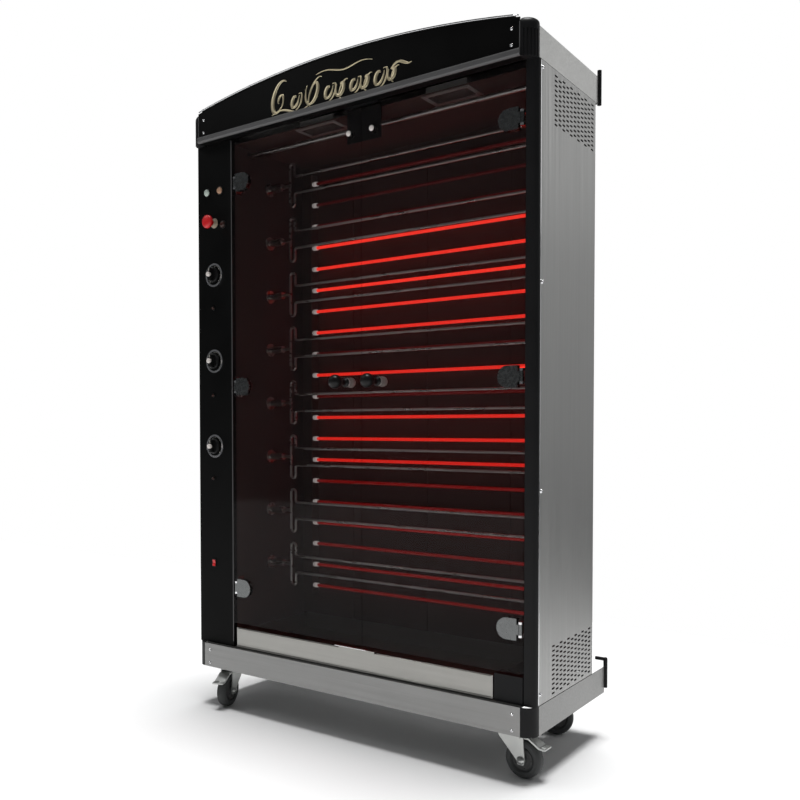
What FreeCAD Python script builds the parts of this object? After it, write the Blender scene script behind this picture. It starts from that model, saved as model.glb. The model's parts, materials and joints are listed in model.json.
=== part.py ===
import FreeCAD
import Part
import math
import os
import re
import Sketcher

# Floor-standing rotisserie oven on casters.
# Frame: +X to the oven's left-to-right as seen from the front, +Y to the back, +Z up.
# Origin: on the floor, below the middle of the oven's bounding box.
# In the helpers below, y is counted from the cabinet's front plane and z from the floor.

DIMENSIONS = {
    # cabinet
    "body_width": 1196, "body_depth": 358, "front_plane": -197.5, "body_top": 1786,
    "sheet_gauge": 1.5, "panel_return": 12, "column_width": 151, "post_width": 33,
    "post_depth": 15, "edge_radius": 12, "liner_back": 330,
    "ceiling_front": 17.5,
    "ceiling_z": 1774,
    # base frame
    "caster_height": 127, "base_height": 74, "base_front": 16, "base_rear": 449,
    "corner_radius": 35, "corner_wall": 3, "channel_wall": 2, "channel_flange": 38,
    "caster_plate": 100, "caster_plate_wall": 4, "bar_thick": 6, "bar_rise": 21,
    "bar_hook": 30,
    # crown and header
    "crown_top": 1862, "crown_rear": 376, "header_reach": 29, "header_wall": 2,
    "arch_top": 1931, "arch_radius": 3074, "cap_wall": 6, "cap_depth": 28,
    "cap_top": 1881, "strip_half": 546,
    "lip_height": 20, "lip_reach": 6, "flute_radius": 2.2, "cap_fillet": 17,
    # perforated vents in the side panels
    "slot_length": 17, "slot_width": 5, "slot_pitch_y": 23.4, "slot_pitch_z": 12.1,
    "vent_front": 93, "vent_top_z": 1772, "vent_low_z": 335,
    # doors
    "glass_wall": 6, "glass_low": 278, "glass_high": 1782, "door_gap": 2.5,
    "pivot_inset": 11, "pivot_radius": 3, "pivot_fit": 0.05, "barrel_radius": 6,
    "barrel_height": 26, "lug_height": 6, "notch_height": 46, "notch_depth": 17,
    "clamp_height": 55, "clamp_width": 64, "clamp_wall": 4, "clamp_start": 8,
    "hinge_low": 390, "hinge_mid": 1019, "hinge_high": 1650, "knob_offset": 56,
    "knob_z": 1020, "knob_ball": 20, "knob_reach": 66, "knob_stem": 5,
    "strike_offset": 40, "strike_z": 1713, "strike_radius": 8,
    "catch_width": 118, "catch_low": 1690, "catch_wall": 3,
    # heating tubes
    "tube_radius": 5, "tube_top": 1707, "tube_pitch": 71, "tube_y": 308,
    "tube_start": -361, "cap_radius": 7.5, "cap_length": 16,
    # spits and their drive
    "spit_y": 171, "spit_top": 1668, "spit_pitch": 174, "needle_radius": 4,
    "needle_offset": 26.5, "fork_x": -358, "fork_half": 68.5, "curl_radius": 10,
    "bend_radius": 8, "needle_end": 536, "shaft_radius": 8, "hub_radius": 11,
    "hub_end": -390, "stub_radius": 5, "yoke_wall": 6, "sprocket_x": -494,
    "sprocket_wall": 6, "tooth_count": 14, "tip_radius": 30, "root_radius": 25,
    "chain_wall": 6, "chain_gap": 0.5, "bearing_radius": 15, "flange_radius": 21,
    # controls
    "dial_x": -526, "dial_outer": 37, "dial_inner": 31, "dial_wall": 3,
    "dial_top": 1375, "dial_mid": 1103, "dial_low": 833, "dial_knob": 24,
    "dial_spindle": 4, "stop_x": -518, "stop_z": 1536, "stop_head": 20,
    "stop_neck": 9, "stop_reach": 45, "rocker_x": -533, "rocker_z": 459,
    "rocker_width": 12, "rocker_height": 20, "rocker_depth": 10, "rocker_pin": 1.5, "rocker_axis": 3.8,
    # drip drawer
    "drawer_left": -433, "drawer_right": 478, "drawer_low": 203.5, "drawer_high": 264,
    "drawer_depth": 326, "drawer_wall": 1.2, "drawer_handle": 127, "handle_rise": 6,
    "handle_x": 45,
    # casters
    "wheel_radius": 50, "wheel_width": 30, "axle_radius": 5, "trail": 34,
    "caster_x": 508, "caster_front": 54, "caster_rear": 400, "fork_wall": 3,
    "fork_gap": 38, "race_radius": 30, "kingpin_radius": 6, "pedal_pin": 4,
    "gland_z": 278,
    # ceiling lamps and bar
    "lamp_left_x": -130, "lamp_right_x": 316, "lamp_y": 62, "lamp_length": 128,
    "lamp_width": 58, "lamp_height": 26, "lamp_flange": 10,
    "bar_radius": 7, "bar_y": 78, "bar_z": 1753,
}

SPITS = 8
TUBES = 20
VENT_COLUMNS = 11
VENT_ROWS = 11
FULL_TURN = 360

doc = FreeCAD.newDocument("RotisserieOven")
sheet = doc.addObject("Spreadsheet::Sheet", "Dims")
for row, (alias, value) in enumerate(DIMENSIONS.items(), start=1):
    sheet.set("A%d" % row, alias)
    sheet.set("B%d" % row, str(value))
    sheet.setAlias("B%d" % row, alias)
doc.recompute()

nodes = []


# ---------------------------------------------------------------- helpers

def qualify(expression):
    """Write the sheet's name before each of its aliases in an expression."""
    def with_sheet(found):
        word = found.group(0)
        return "Dims." + word if word in DIMENSIONS else word
    return re.sub(r"[a-z][a-z_]*", with_sheet, str(expression))


def number(expression):
    """The value of an expression of the sheet's aliases, in millimetres."""
    probe = sheet.evalExpression(qualify(expression))
    return float(getattr(probe, "Value", probe))


def bind(item, **sizes):
    for name, expression in sizes.items():
        item.setExpression(name, qualify(expression))
    return item


def place(item, x, y, z, turn=None, datum="front_plane"):
    """Put an item at x, at y behind the datum plane, and at z above the floor."""
    if turn is not None:
        item.Placement = FreeCAD.Placement(FreeCAD.Vector(), turn)
    item.setExpression("Placement.Base.x", qualify(x))
    item.setExpression("Placement.Base.y", qualify("%s + (%s)" % (datum, y)))
    item.setExpression("Placement.Base.z", qualify(z))
    return item


def about(axis, degrees):
    return FreeCAD.Rotation(FreeCAD.Vector(*axis), degrees)


ALONG = {
    "+X": about((0, 1, 0), 90), "-X": about((0, 1, 0), -90),
    "+Y": about((1, 0, 0), -90), "-Y": about((1, 0, 0), 90),
    "+Z": about((0, 0, 1), 0), "-Z": about((1, 0, 0), 180),
}


def box(name, length, width, height, x, y, z, datum="front_plane"):
    item = doc.addObject("Part::Box", name)
    bind(item, Length=length, Width=width, Height=height)
    return place(item, x, y, z, datum=datum)


def rod(name, radius, length, x, y, z, along="+Z", datum="front_plane"):
    """A cylinder that starts at a point and runs along an axis."""
    item = doc.addObject("Part::Cylinder", name)
    bind(item, Radius=radius, Height=length)
    return place(item, x, y, z, ALONG[along], datum)


def cut(name, base, tool):
    item = doc.addObject("Part::Cut", name)
    item.Base = base
    item.Tool = tool
    return item


def common(name, base, tool):
    item = doc.addObject("Part::Common", name)
    item.Base = base
    item.Tool = tool
    return item


def fuse(name, pieces):
    item = doc.addObject("Part::MultiFuse", name)
    item.Shapes = pieces
    item.Refine = True
    return item


def together(name, pieces):
    item = doc.addObject("Part::Compound", name)
    item.Links = pieces
    return item


def mirrored(name, source, x="0"):
    """A copy of a piece on the other side of a plane across X."""
    item = doc.addObject("Part::Mirroring", name)
    item.Source = source
    item.Normal = FreeCAD.Vector(1, 0, 0)
    item.setExpression("Base.x", qualify(x))
    return item


def rounded(name, base, radius, wanted):
    """Round the edges whose middle point passes a test."""
    doc.recompute()
    size = number(radius)
    item = doc.addObject("Part::Fillet", name)
    item.Base = base
    chosen = []
    for index, edge in enumerate(base.Shape.Edges, start=1):
        middle = edge.valueAt((edge.FirstParameter + edge.LastParameter) / 2)
        if wanted(middle, edge):
            chosen.append((index, size, size))
    item.Edges = chosen
    return item


def origin_plane(body, role):
    return [feature for feature in body.Origin.OriginFeatures if feature.Role == role][0]


def sketch_on(body, role, name):
    sketch = body.newObject("Sketcher::SketchObject", name)
    sketch.AttachmentSupport = [(origin_plane(body, role), "")]
    sketch.MapMode = "FlatFace"
    return sketch


def outline(sketch, corners):
    """Draw a closed outline whose corners are bound to the sheet."""
    points = [FreeCAD.Vector(number(u), number(v), 0) for u, v in corners]
    count = len(points)
    for index in range(count):
        sketch.addGeometry(Part.LineSegment(points[index], points[(index + 1) % count]))
    for index in range(count):
        follower = (index + 1) % count
        sketch.addConstraint(Sketcher.Constraint("Coincident", index, 2, follower, 1))
    for index, (u, v) in enumerate(corners):
        for kind, text, value in (("DistanceX", u, points[index].x),
                                  ("DistanceY", v, points[index].y)):
            made = sketch.addConstraint(Sketcher.Constraint(kind, -1, 1, index, 1, value))
            sketch.renameConstraint(made, "%s_%d" % (kind, index))
            sketch.setExpression("Constraints.%s_%d" % (kind, index), qualify(text))


def prism(name, role, corners, length, x, y, z, turn=None, datum="front_plane"):
    """A body padded from an outline: XY pads to +Z, YZ to +X and XZ to -Y."""
    body = doc.addObject("PartDesign::Body", name)
    sketch = sketch_on(body, role, name + "_sketch")
    outline(sketch, corners)
    pad = body.newObject("PartDesign::Pad", name + "_pad")
    pad.Profile = sketch
    pad.setExpression("Length", qualify(length))
    return place(body, x, y, z, turn, datum)


def turned(name, profile, x, y, z, along="+Z"):
    """A body turned from a half outline of (radius, height) about an axis."""
    body = doc.addObject("PartDesign::Body", name)
    sketch = sketch_on(body, "XZ_Plane", name + "_sketch")
    outline(sketch, profile)
    turn = body.newObject("PartDesign::Revolution", name + "_turn")
    turn.Profile = sketch
    turn.ReferenceAxis = (sketch, ["V_Axis"])
    turn.Angle = FULL_TURN
    return place(body, x, y, z, ALONG[along])


def node(label, item):
    """Name a finished sub-part and note it for writing."""
    item.Label = label
    nodes.append(item)
    return item


HALF = "body_width/2"
COLUMN_EDGE = "(column_width - body_width/2)"
POST_EDGE = "(body_width/2 - post_width)"
SEAM = "((column_width - post_width)/2)"
BODY_FLOOR = "(caster_height + base_height)"
INNER_BASE = "(body_width - 2*corner_radius)"


# ---------------------------------------------------------------- base frame

def channel(name, length, x, y, degrees):
    """A folded C-channel: its web is the outer face, its flanges point inwards."""
    corners = [
        ("0", "0"), ("channel_flange", "0"), ("channel_flange", "channel_wall"),
        ("channel_wall", "channel_wall"), ("channel_wall", "base_height - channel_wall"),
        ("channel_flange", "base_height - channel_wall"), ("channel_flange", "base_height"),
        ("0", "base_height"),
    ]
    turn = about((0, 0, 1), degrees)
    return prism(name, "YZ_Plane", corners, length, x, y, "caster_height", turn)


def caster_plate(name, x, y):
    """The corner plate that a caster's kingpin turns in, bolted on the rail's low flange."""
    reach = "(caster_plate/2 - caster_x + %s - 4*channel_wall)" % HALF
    start = "-" + HALF + " + 4*channel_wall" if x.startswith("-") else x + " - caster_plate/2"
    plate = box(name + "_sheet", reach, "caster_plate", "caster_plate_wall",
                start, y + " - caster_plate/2", "caster_height + channel_wall")
    bore = rod(name + "_bore", "kingpin_radius + pivot_fit", "3*caster_plate_wall",
               x, y, "caster_height - caster_plate_wall")
    return cut(name, plate, bore)


def outrigger(name, rail):
    """Trim a rail's top flange where it runs on behind the cabinet."""
    x = HALF + " - channel_flange - 1"
    if name.startswith("left"):
        x = "channel_wall - " + HALF
    flange = box(name + "_trim", "channel_flange + 1 - channel_wall", "base_rear",
                 "2*channel_wall", x, "body_depth + 6", BODY_FLOOR + " - channel_wall")
    return cut(name + "_rail", rail, flange)


def base_frame():
    side_length = "base_rear + base_front - corner_radius"
    side_front = "corner_radius - base_front"
    half_inner = "(body_width/2 - corner_radius)"
    pieces = [
        channel("front_beam", INNER_BASE, "-" + half_inner, "-base_front", 0),
        channel("rear_beam", "body_width - 2*channel_flange", HALF + " - channel_flange",
                "caster_rear - caster_plate/2 - channel_wall", 180),
        outrigger("right", channel("right_web", side_length, HALF, side_front, 90)),
        outrigger("left", channel("left_web", side_length, "-" + HALF, "base_rear", -90)),
    ]
    for tag, x, y in CASTERS:
        pieces.append(caster_plate("plate_" + tag, x, y))
    return node("base_frame", together("base_frame", pieces))


CASTERS = [
    ("front_left", "-caster_x", "caster_front"), ("front_right", "caster_x", "caster_front"),
    ("rear_left", "-caster_x", "caster_rear"), ("rear_right", "caster_x", "caster_rear"),
]


def quarter_shell(name, height, x, y, z, degrees):
    """A thin quarter-round corner extrusion about a vertical line."""
    sizes = (("outer", "corner_radius", height, z),
             ("inner", "corner_radius - corner_wall", height + " + 2", z + " - 1"))
    pieces = []
    for tag, radius, tall, low in sizes:
        piece = doc.addObject("Part::Cylinder", name + "_" + tag)
        piece.Angle = 90
        bind(piece, Radius=radius, Height=tall)
        pieces.append(place(piece, x, y, low, about((0, 0, 1), degrees)))
    return cut(name, pieces[0], pieces[1])


def end_bar(name, y, low, high, hooked):
    """A dark upright bar at a rear corner; a base one ends in a hook towards the middle."""
    x = HALF + " + 1"
    upright = rod(name + "_upright", "bar_thick", "%s - (%s)" % (high, low), x,
                  y + " + bar_thick + 0.1", low)
    if not hooked:
        return upright
    ball = doc.addObject("Part::Sphere", name + "_elbow")
    bind(ball, Radius="bar_thick")
    place(ball, x, y + " + bar_thick + 0.1", high)
    hook = rod(name + "_hook", "bar_thick - 1", "bar_hook", x, y + " + bar_thick + 0.1",
               high, "-X")
    return fuse(name, [upright, ball, hook])


def corner_profiles():
    """The black front corners of the base, the right front post and the rear bars."""
    x = "(body_width/2 - corner_radius)"
    front = "corner_radius - base_front"
    pieces = []
    for tag, sx, degrees in (("front_right", x, -90), ("front_left", "-" + x, 180)):
        pieces.append(quarter_shell("corner_" + tag, "base_height", sx, front,
                                    "caster_height", degrees))
    for tag, y, low, high, hooked in (
            ("base", "base_rear", "caster_height + 13", BODY_FLOOR + " + bar_rise", True),
            ("crown", "crown_rear", "body_top", "cap_top", False)):
        right = end_bar(tag + "_bar", y, low, high, hooked)
        pieces += [right, mirrored(tag + "_bar_left", right)]
    bar = box("post_bar", "post_width", "post_depth", "body_top - " + BODY_FLOOR,
              POST_EDGE, "0", BODY_FLOOR)
    edge_x = number(HALF)
    edge_y = number("front_plane")

    def outer_edge(middle, edge):
        return abs(middle.x - edge_x) < 1 and abs(middle.y - edge_y) < 1 and edge.Length > 100
    pieces.append(rounded("front_post", bar, "edge_radius", outer_edge))
    return node("corner_profiles", together("corner_profiles", pieces))


# ---------------------------------------------------------------- cabinet sheets

def floor_pan():
    sheet_metal = box("floor_sheet", "body_width - 8", "body_depth - post_depth - 5",
                      "channel_wall", "4 - body_width/2", "post_depth + 1", BODY_FLOOR)
    hole = rod("floor_drain_hole", "8", "20", "-252", "188", BODY_FLOOR + " - 9")
    return node("floor_pan", cut("floor_pan", sheet_metal, hole))


def slot(y, z):
    """One long round-ended hole through a side sheet, centred at y and z."""
    half = number("(slot_length - slot_width)/2")
    radius = number("slot_width/2")
    out = FreeCAD.Vector(1, 0, 0)
    start = FreeCAD.Vector(-number("panel_return"), y, z)
    along, up = FreeCAD.Vector(0, half, 0), FreeCAD.Vector(0, 0, radius)
    nose = FreeCAD.Vector(0, radius, 0)
    edges = [
        Part.makeLine(start - along + up, start + along + up),
        Part.Arc(start + along + up, start + along + nose, start + along - up).toShape(),
        Part.makeLine(start + along - up, start - along - up),
        Part.Arc(start - along - up, start - along - nose, start - along + up).toShape(),
    ]
    return Part.Face(Part.Wire(edges)).extrude(out * 2 * number("panel_return"))


def vent_slots():
    """Both vents of the right side: the columns of slots alternate by half a pitch."""
    slots = []
    for top in ("vent_top_z", "vent_low_z"):
        for column in range(VENT_COLUMNS):
            y = number("vent_front + slot_length/2") + column * number("slot_pitch_y")
            lower = number("slot_pitch_z") / 2 * (column % 2)
            for row in range(VENT_ROWS - column % 2):
                slots.append(slot(y, number(top) - lower - row * number("slot_pitch_z")))
    item = doc.addObject("Part::Feature", "vent_slots")
    item.Shape = Part.makeCompound(slots)
    return place(item, HALF, "0", "0")


def side_panels():
    """Folded side sheets with a return at each end and two slotted vents."""
    depth = "(body_depth - post_depth)"
    corners = [
        ("0", "0"), ("0", depth), ("-panel_return", depth),
        ("-panel_return", depth + " - sheet_gauge"), ("-sheet_gauge", depth + " - sheet_gauge"),
        ("-sheet_gauge", "sheet_gauge"), ("-panel_return", "sheet_gauge"),
        ("-panel_return", "0"),
    ]
    low = "%s + channel_wall" % BODY_FLOOR
    body = prism("side_right", "XY_Plane", corners, "body_top - (%s)" % low,
                 HALF, "post_depth", low)
    panel = cut("side_right_slotted", body, vent_slots())
    node("side_panel_right", panel)
    node("side_panel_left", mirrored("side_left", panel))


def back_panel():
    sheet_metal = box("back_sheet", "body_width - 2*sheet_gauge - 1", "sheet_gauge",
                      "crown_top - 8 - " + BODY_FLOOR + " - channel_wall",
                      "sheet_gauge + 0.5 - body_width/2", "body_depth",
                      BODY_FLOOR + " + channel_wall")
    hole = rod("gland_hole", "10", "10", "-520", "body_depth - 4", "gland_z", "+Y")
    return node("back_panel", cut("back_panel", sheet_metal, hole))


def control_column():
    """The black fascia of the control column, with a hole for each control."""
    depth = "post_depth"
    corners = [
        ("0", "0"), ("column_width", "0"), ("column_width", depth),
        ("column_width - sheet_gauge", depth), ("column_width - sheet_gauge", "sheet_gauge"),
        ("sheet_gauge", "sheet_gauge"), ("sheet_gauge", depth), ("0", depth),
    ]
    fold = prism("column_fold", "XY_Plane", corners, "body_top - " + BODY_FLOOR,
                 "-" + HALF, "0", BODY_FLOOR)
    holes = []
    for index, z in enumerate(("dial_top", "dial_mid", "dial_low")):
        holes.append(rod("spindle_hole_%d" % index, "dial_spindle + pivot_fit", "6",
                         "dial_x", "-3", z, "+Y"))
    holes.append(rod("stop_hole", "stop_neck + 1", "6", "stop_x", "-3", "stop_z", "+Y"))
    for index, (x, z, radius) in enumerate(PILOTS):
        holes.append(rod("pilot_hole_%d" % index, str(radius - 2), "6", x, "-3", z, "+Y"))
    holes.append(box("rocker_hole", "rocker_width + 1.4", "6", "rocker_height + 2.4",
                     "rocker_x - rocker_width/2 - 0.7", "-3",
                     "rocker_z - rocker_height/2 - 1.2"))
    return node("control_column", cut("control_column", fold, together("column_holes", holes)))


# The pilot lamps: x, z and the lens's radius.
PILOTS = [
    ("-556", "1638", 11), ("-498", "1637", 11), ("-486", "1530", 10),
    ("-530", "1271", 5), ("-532", "995", 5), ("-534", "730", 5),
]


def spit_z(index):
    return "(spit_top - %d*spit_pitch)" % index


def partition():
    """The wall between the control column and the cavity, bored for the spit bearings."""
    height = "ceiling_z - " + BODY_FLOOR + " - channel_wall"
    wall = box("partition_sheet", "sheet_gauge", "liner_back - post_depth", height,
               COLUMN_EDGE + " - sheet_gauge", "post_depth", BODY_FLOOR + " + channel_wall")
    holes = []
    for index in range(SPITS):
        holes.append(rod("bearing_hole_%d" % index, "bearing_radius", "10",
                         COLUMN_EDGE + " - 5", "spit_y", spit_z(index), "+X"))
    return node("partition", cut("partition", wall, together("partition_holes", holes)))


def cavity_liner():
    """Back wall, right wall, ceiling and the rail behind the heating tubes' left ends."""
    low = BODY_FLOOR + " + channel_wall"
    height = "ceiling_z - " + low
    width = "(%s - %s)" % (POST_EDGE, COLUMN_EDGE)
    back = box("liner_back_wall", width, "sheet_gauge", height, COLUMN_EDGE, "liner_back", low)
    right = box("liner_right_wall", "sheet_gauge", "liner_back - post_depth", height,
                POST_EDGE, "post_depth", low)
    top = box("ceiling_sheet", width + " + 2*sheet_gauge",
              "liner_back + sheet_gauge - ceiling_front", "sheet_gauge",
              COLUMN_EDGE + " - sheet_gauge", "ceiling_front", "ceiling_z")
    windows = []
    for tag in ("left", "right"):
        windows.append(box("lamp_window_" + tag, "lamp_length", "lamp_width", "10",
                           "lamp_%s_x - lamp_length/2" % tag, "lamp_y - lamp_width/2",
                           "ceiling_z - 5"))
    ceiling = cut("liner_ceiling", top, together("lamp_windows", windows))
    rail = box("tube_rail", "4", "34", "%d*tube_pitch + 60" % (TUBES - 1),
               "tube_start - cap_length - 4", "liner_back - 34",
               "tube_top - %d*tube_pitch - 30" % (TUBES - 1))
    return node("cavity_liner", together("cavity_liner", [back, right, ceiling, rail]))


# ---------------------------------------------------------------- crown and header

def disc(name, radius):
    """A broad disc whose top is the arch of the header, seen along Y."""
    return rod(name, radius, "80", "0", "-header_reach - 20", "arch_top - arch_radius", "+Y")


def header():
    """The arched black fascia with its folded bottom, and the lip along it."""
    blank = box("fascia_blank", INNER_BASE, "header_wall", "arch_top - body_top + 20",
                "corner_radius - " + HALF, "-header_reach", "body_top")
    face = common("fascia_face", blank, disc("fascia_arch", "arch_radius"))
    fold = box("fascia_fold", INNER_BASE, "header_reach - 2", "header_wall",
               "corner_radius - " + HALF, "-header_reach", "body_top")
    node("header_fascia", fuse("header_fascia", [face, fold]))
    profile = [("0", "0"), ("0", "lip_height"), ("-0.5*lip_reach", "lip_height - 1"),
               ("-lip_reach", "lip_height - 5"), ("-lip_reach", "5"), ("-0.5*lip_reach", "1")]
    lip = prism("lip_bar", "YZ_Plane", profile, INNER_BASE,
                "corner_radius - " + HALF, "-header_reach", "body_top")
    node("header_lip", lip)


def end_cap():
    """The right end of the header: a fluted quarter-round with a rounded top."""
    centre_x = "(body_width/2 - corner_radius)"
    centre_y = "(corner_radius - header_reach)"
    solid = doc.addObject("Part::Cylinder", "cap_quarter")
    solid.Angle = 90
    bind(solid, Radius="corner_radius", Height="cap_top - body_top")
    place(solid, centre_x, centre_y, "body_top", about((0, 0, 1), -90))
    top = number("cap_top")

    def top_arc(middle, edge):
        return abs(middle.z - top) < 1 and not isinstance(edge.Curve, Part.Line)
    dome = rounded("cap_dome", solid, "cap_fillet", top_arc)
    grooves = []
    for index in range(5):
        angle = math.radians(-90 + 15 * (index + 1))
        grooves.append(rod("flute_%d" % index, "flute_radius", "crown_top - body_top",
                           "%s + corner_radius*%.5f" % (centre_x, math.cos(angle)),
                           "%s + corner_radius*%.5f" % (centre_y, math.sin(angle)),
                           "body_top - 10"))
    return cut("cap_right", dome, together("flutes", grooves))


def header_caps():
    """The black strip along the arch and the two fluted end caps."""
    blank = box("strip_blank", "2*strip_half", "cap_depth", "arch_top - body_top + 20",
                "-strip_half", "-header_reach - 2", "body_top")
    arch = common("strip_arch", blank, disc("strip_outer", "arch_radius + cap_wall"))
    strip = cut("arch_strip", arch, disc("strip_inner", "arch_radius"))
    right = end_cap()
    left = mirrored("cap_left", right)
    node("header_caps", together("header_caps", [strip, right, left]))


def crown_panels():
    """Stainless sides, the rear rail and the flat roof of the crown."""
    low = "body_top + 1"
    height = "crown_top - body_top - 1"
    front = "corner_radius - header_reach"
    depth = "crown_rear + header_reach - corner_radius"
    right = box("crown_right_side", "sheet_gauge", depth, height,
                HALF + " - sheet_gauge", front, low)
    rail = box("crown_rear_rail", "body_width - 2*sheet_gauge", "sheet_gauge", height,
               "sheet_gauge - " + HALF, "crown_rear - sheet_gauge", low)
    roof = box("roof_sheet", "body_width - 2*sheet_gauge", "crown_rear - 8",
               "sheet_gauge", "sheet_gauge - " + HALF, front, "crown_top - 6")
    inner = box("crown_inner_cover", "body_width - 2*sheet_gauge - 2",
                "crown_rear - body_depth - 2*sheet_gauge - 1", "sheet_gauge",
                "sheet_gauge + 1 - " + HALF, "body_depth + sheet_gauge", low)
    pieces = [right, mirrored("crown_left_side", right), rail, roof, inner]
    node("crown_panels", together("crown_panels", pieces))


def panel_screws():
    """Domed screws on the header, the base beam and the side panels."""
    pieces = []
    for side in ("", "-"):
        for index, (y, z) in enumerate((("header_reach", "body_top + 31"),
                                        ("header_reach", "body_top + 70"),
                                        ("base_front", "caster_height + 12"),
                                        ("base_front", "caster_height + 53"))):
            screw = rod("face_screw_%s%d" % (side and "left", index), "4.2", "2.4",
                        side + "540", "-%s" % y, z, "-Y")
            pieces.append(screw)
        for index, z in enumerate(("230", "736", "1249", "1768")):
            along = "-X" if side else "+X"
            pieces.append(rod("side_screw_%s%d" % (side and "left", index), "6", "4",
                              side + HALF, "post_depth + 9", z, along))
    node("panel_screws", together("panel_screws", pieces))


# ---------------------------------------------------------------- cavity fittings

def heating_tubes():
    tubes = []
    ends = []
    finish = POST_EDGE + " - cap_length"
    for index in range(TUBES):
        z = "tube_top - %d*tube_pitch" % index
        tubes.append(rod("tube_%d" % index, "tube_radius", finish + " - tube_start",
                         "tube_start", "tube_y", z, "+X"))
        ends.append(rod("cap_a_%d" % index, "cap_radius", "cap_length", "tube_start",
                        "tube_y", z, "-X"))
        ends.append(rod("cap_b_%d" % index, "cap_radius", "cap_length", finish,
                        "tube_y", z, "+X"))
    node("heating_tubes", together("heating_tubes", tubes))
    node("tube_end_caps", together("tube_end_caps", ends))


def ceiling_fittings():
    """The two recessed lamp housings and the round bar below the ceiling."""
    pieces = []
    for tag in ("left", "right"):
        x = "lamp_%s_x" % tag
        shell = box("lamp_shell_" + tag, "lamp_length - 1", "lamp_width - 1", "lamp_height",
                    x + " - lamp_length/2 + 0.5", "lamp_y - lamp_width/2 + 0.5", "ceiling_z - 2")
        frame = box("lamp_frame_" + tag, "lamp_length + 2*lamp_flange",
                    "lamp_width + 2*lamp_flange", "2", x + " - lamp_length/2 - lamp_flange",
                    "lamp_y - lamp_width/2 - lamp_flange", "ceiling_z - 2")
        hollow = box("lamp_hollow_" + tag, "lamp_length - 5", "lamp_width - 5", "lamp_height",
                     x + " - lamp_length/2 + 2.5", "lamp_y - lamp_width/2 + 2.5", "ceiling_z - 4")
        pieces.append(cut("lamp_" + tag, fuse("lamp_solid_" + tag, [shell, frame]), hollow))
    node("ceiling_lamps", together("ceiling_lamps", pieces))
    node("ceiling_bar", rod("ceiling_bar", "bar_radius", POST_EDGE + " - " + COLUMN_EDGE,
                            COLUMN_EDGE, "bar_y", "bar_z", "+X"))


def catch_plate():
    """The plate below the header that carries one magnetic catch for each door."""
    plate = box("catch_sheet", "catch_width", "catch_wall", "body_top - catch_low",
                SEAM + " - catch_width/2", "14", "catch_low")
    foot = box("catch_foot", "catch_width", "14", "catch_wall", SEAM + " - catch_width/2", "0",
               "body_top - catch_wall")
    magnets = []
    for side in ("-", "+"):
        magnets.append(rod("magnet_" + ("a" if side == "-" else "b"), "strike_radius + 2", "5.4",
                           "%s %s strike_offset" % (SEAM, side), "14", "strike_z", "-Y"))
    node("catch_plate", fuse("catch_plate", [plate, foot] + magnets))


HINGES = ("hinge_low", "hinge_mid", "hinge_high")


def hinge_bracket(name, z):
    """A left bracket: a pin between two lugs, on a foot against the partition."""
    x = "(%s + pivot_inset)" % COLUMN_EDGE
    pieces = [
        box(name + "_foot", "3", "26", "60", COLUMN_EDGE, "post_depth + 1", z + " - 30"),
        rod(name + "_pin", "pivot_radius", "barrel_height + 2*lug_height + 1", x,
            "glass_wall/2", z + " - barrel_height/2 - lug_height - 0.5"),
    ]
    for tag, low in (("upper", "+ barrel_height/2 + 0.5"),
                     ("lower", "- barrel_height/2 - lug_height - 0.5")):
        level = "%s %s" % (z, low)
        pieces.append(rod("%s_%s_eye" % (name, tag), "barrel_radius", "lug_height", x,
                          "glass_wall/2", level))
        pieces.append(box("%s_%s_neck" % (name, tag), "2*barrel_radius - 2", "14", "lug_height",
                          x + " - barrel_radius", "glass_wall/2", level))
        pieces.append(box("%s_%s_arm" % (name, tag), "pivot_inset + 3", "26", "lug_height",
                          COLUMN_EDGE, "post_depth + 1", level))
    return fuse(name, pieces)


def hinge_brackets():
    pieces = []
    for index, z in enumerate(HINGES):
        left = hinge_bracket("bracket_%d" % index, z)
        pieces.append(left)
        pieces.append(mirrored("bracket_right_%d" % index, left, SEAM))
    node("hinge_brackets", together("hinge_brackets", pieces))


# ---------------------------------------------------------------- doors

def left_door():
    """The frameless left door: its glass pane, its clamps and strike, and its knob."""
    left = COLUMN_EDGE + " + door_gap"
    x = "(%s + pivot_inset)" % COLUMN_EDGE
    pane = box("pane_blank", "(%s) - 1.5 - (%s)" % (SEAM, left), "glass_wall",
               "glass_high - glass_low", left, "0", "glass_low")
    holes = [rod("knob_hole", "knob_stem + 0.5", "20", SEAM + " - knob_offset", "-5",
                 "knob_z", "+Y"),
             rod("strike_hole", "4.5", "20", SEAM + " - strike_offset", "-5", "strike_z", "+Y")]
    fittings = []
    for index, z in enumerate(HINGES):
        holes.append(box("notch_%d" % index, "notch_depth + pivot_inset", "20", "notch_height",
                         left + " - pivot_inset", "-5", z + " - notch_height/2"))
        fittings.append(clamp("clamp_%d" % index, x, z))
    glass = cut("pane_left", pane, together("pane_holes", holes))
    strike = [rod("strike_front", "strike_radius", "4", SEAM + " - strike_offset", "0",
                  "strike_z", "-Y"),
              rod("strike_core", "4", "glass_wall", SEAM + " - strike_offset", "0",
                  "strike_z", "+Y"),
              rod("strike_back", "strike_radius", "1.6", SEAM + " - strike_offset",
                  "glass_wall", "strike_z", "+Y")]
    fittings.append(fuse("strike_left", strike))
    hardware = together("fittings_left", fittings)
    return glass, hardware, door_knob()


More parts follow.
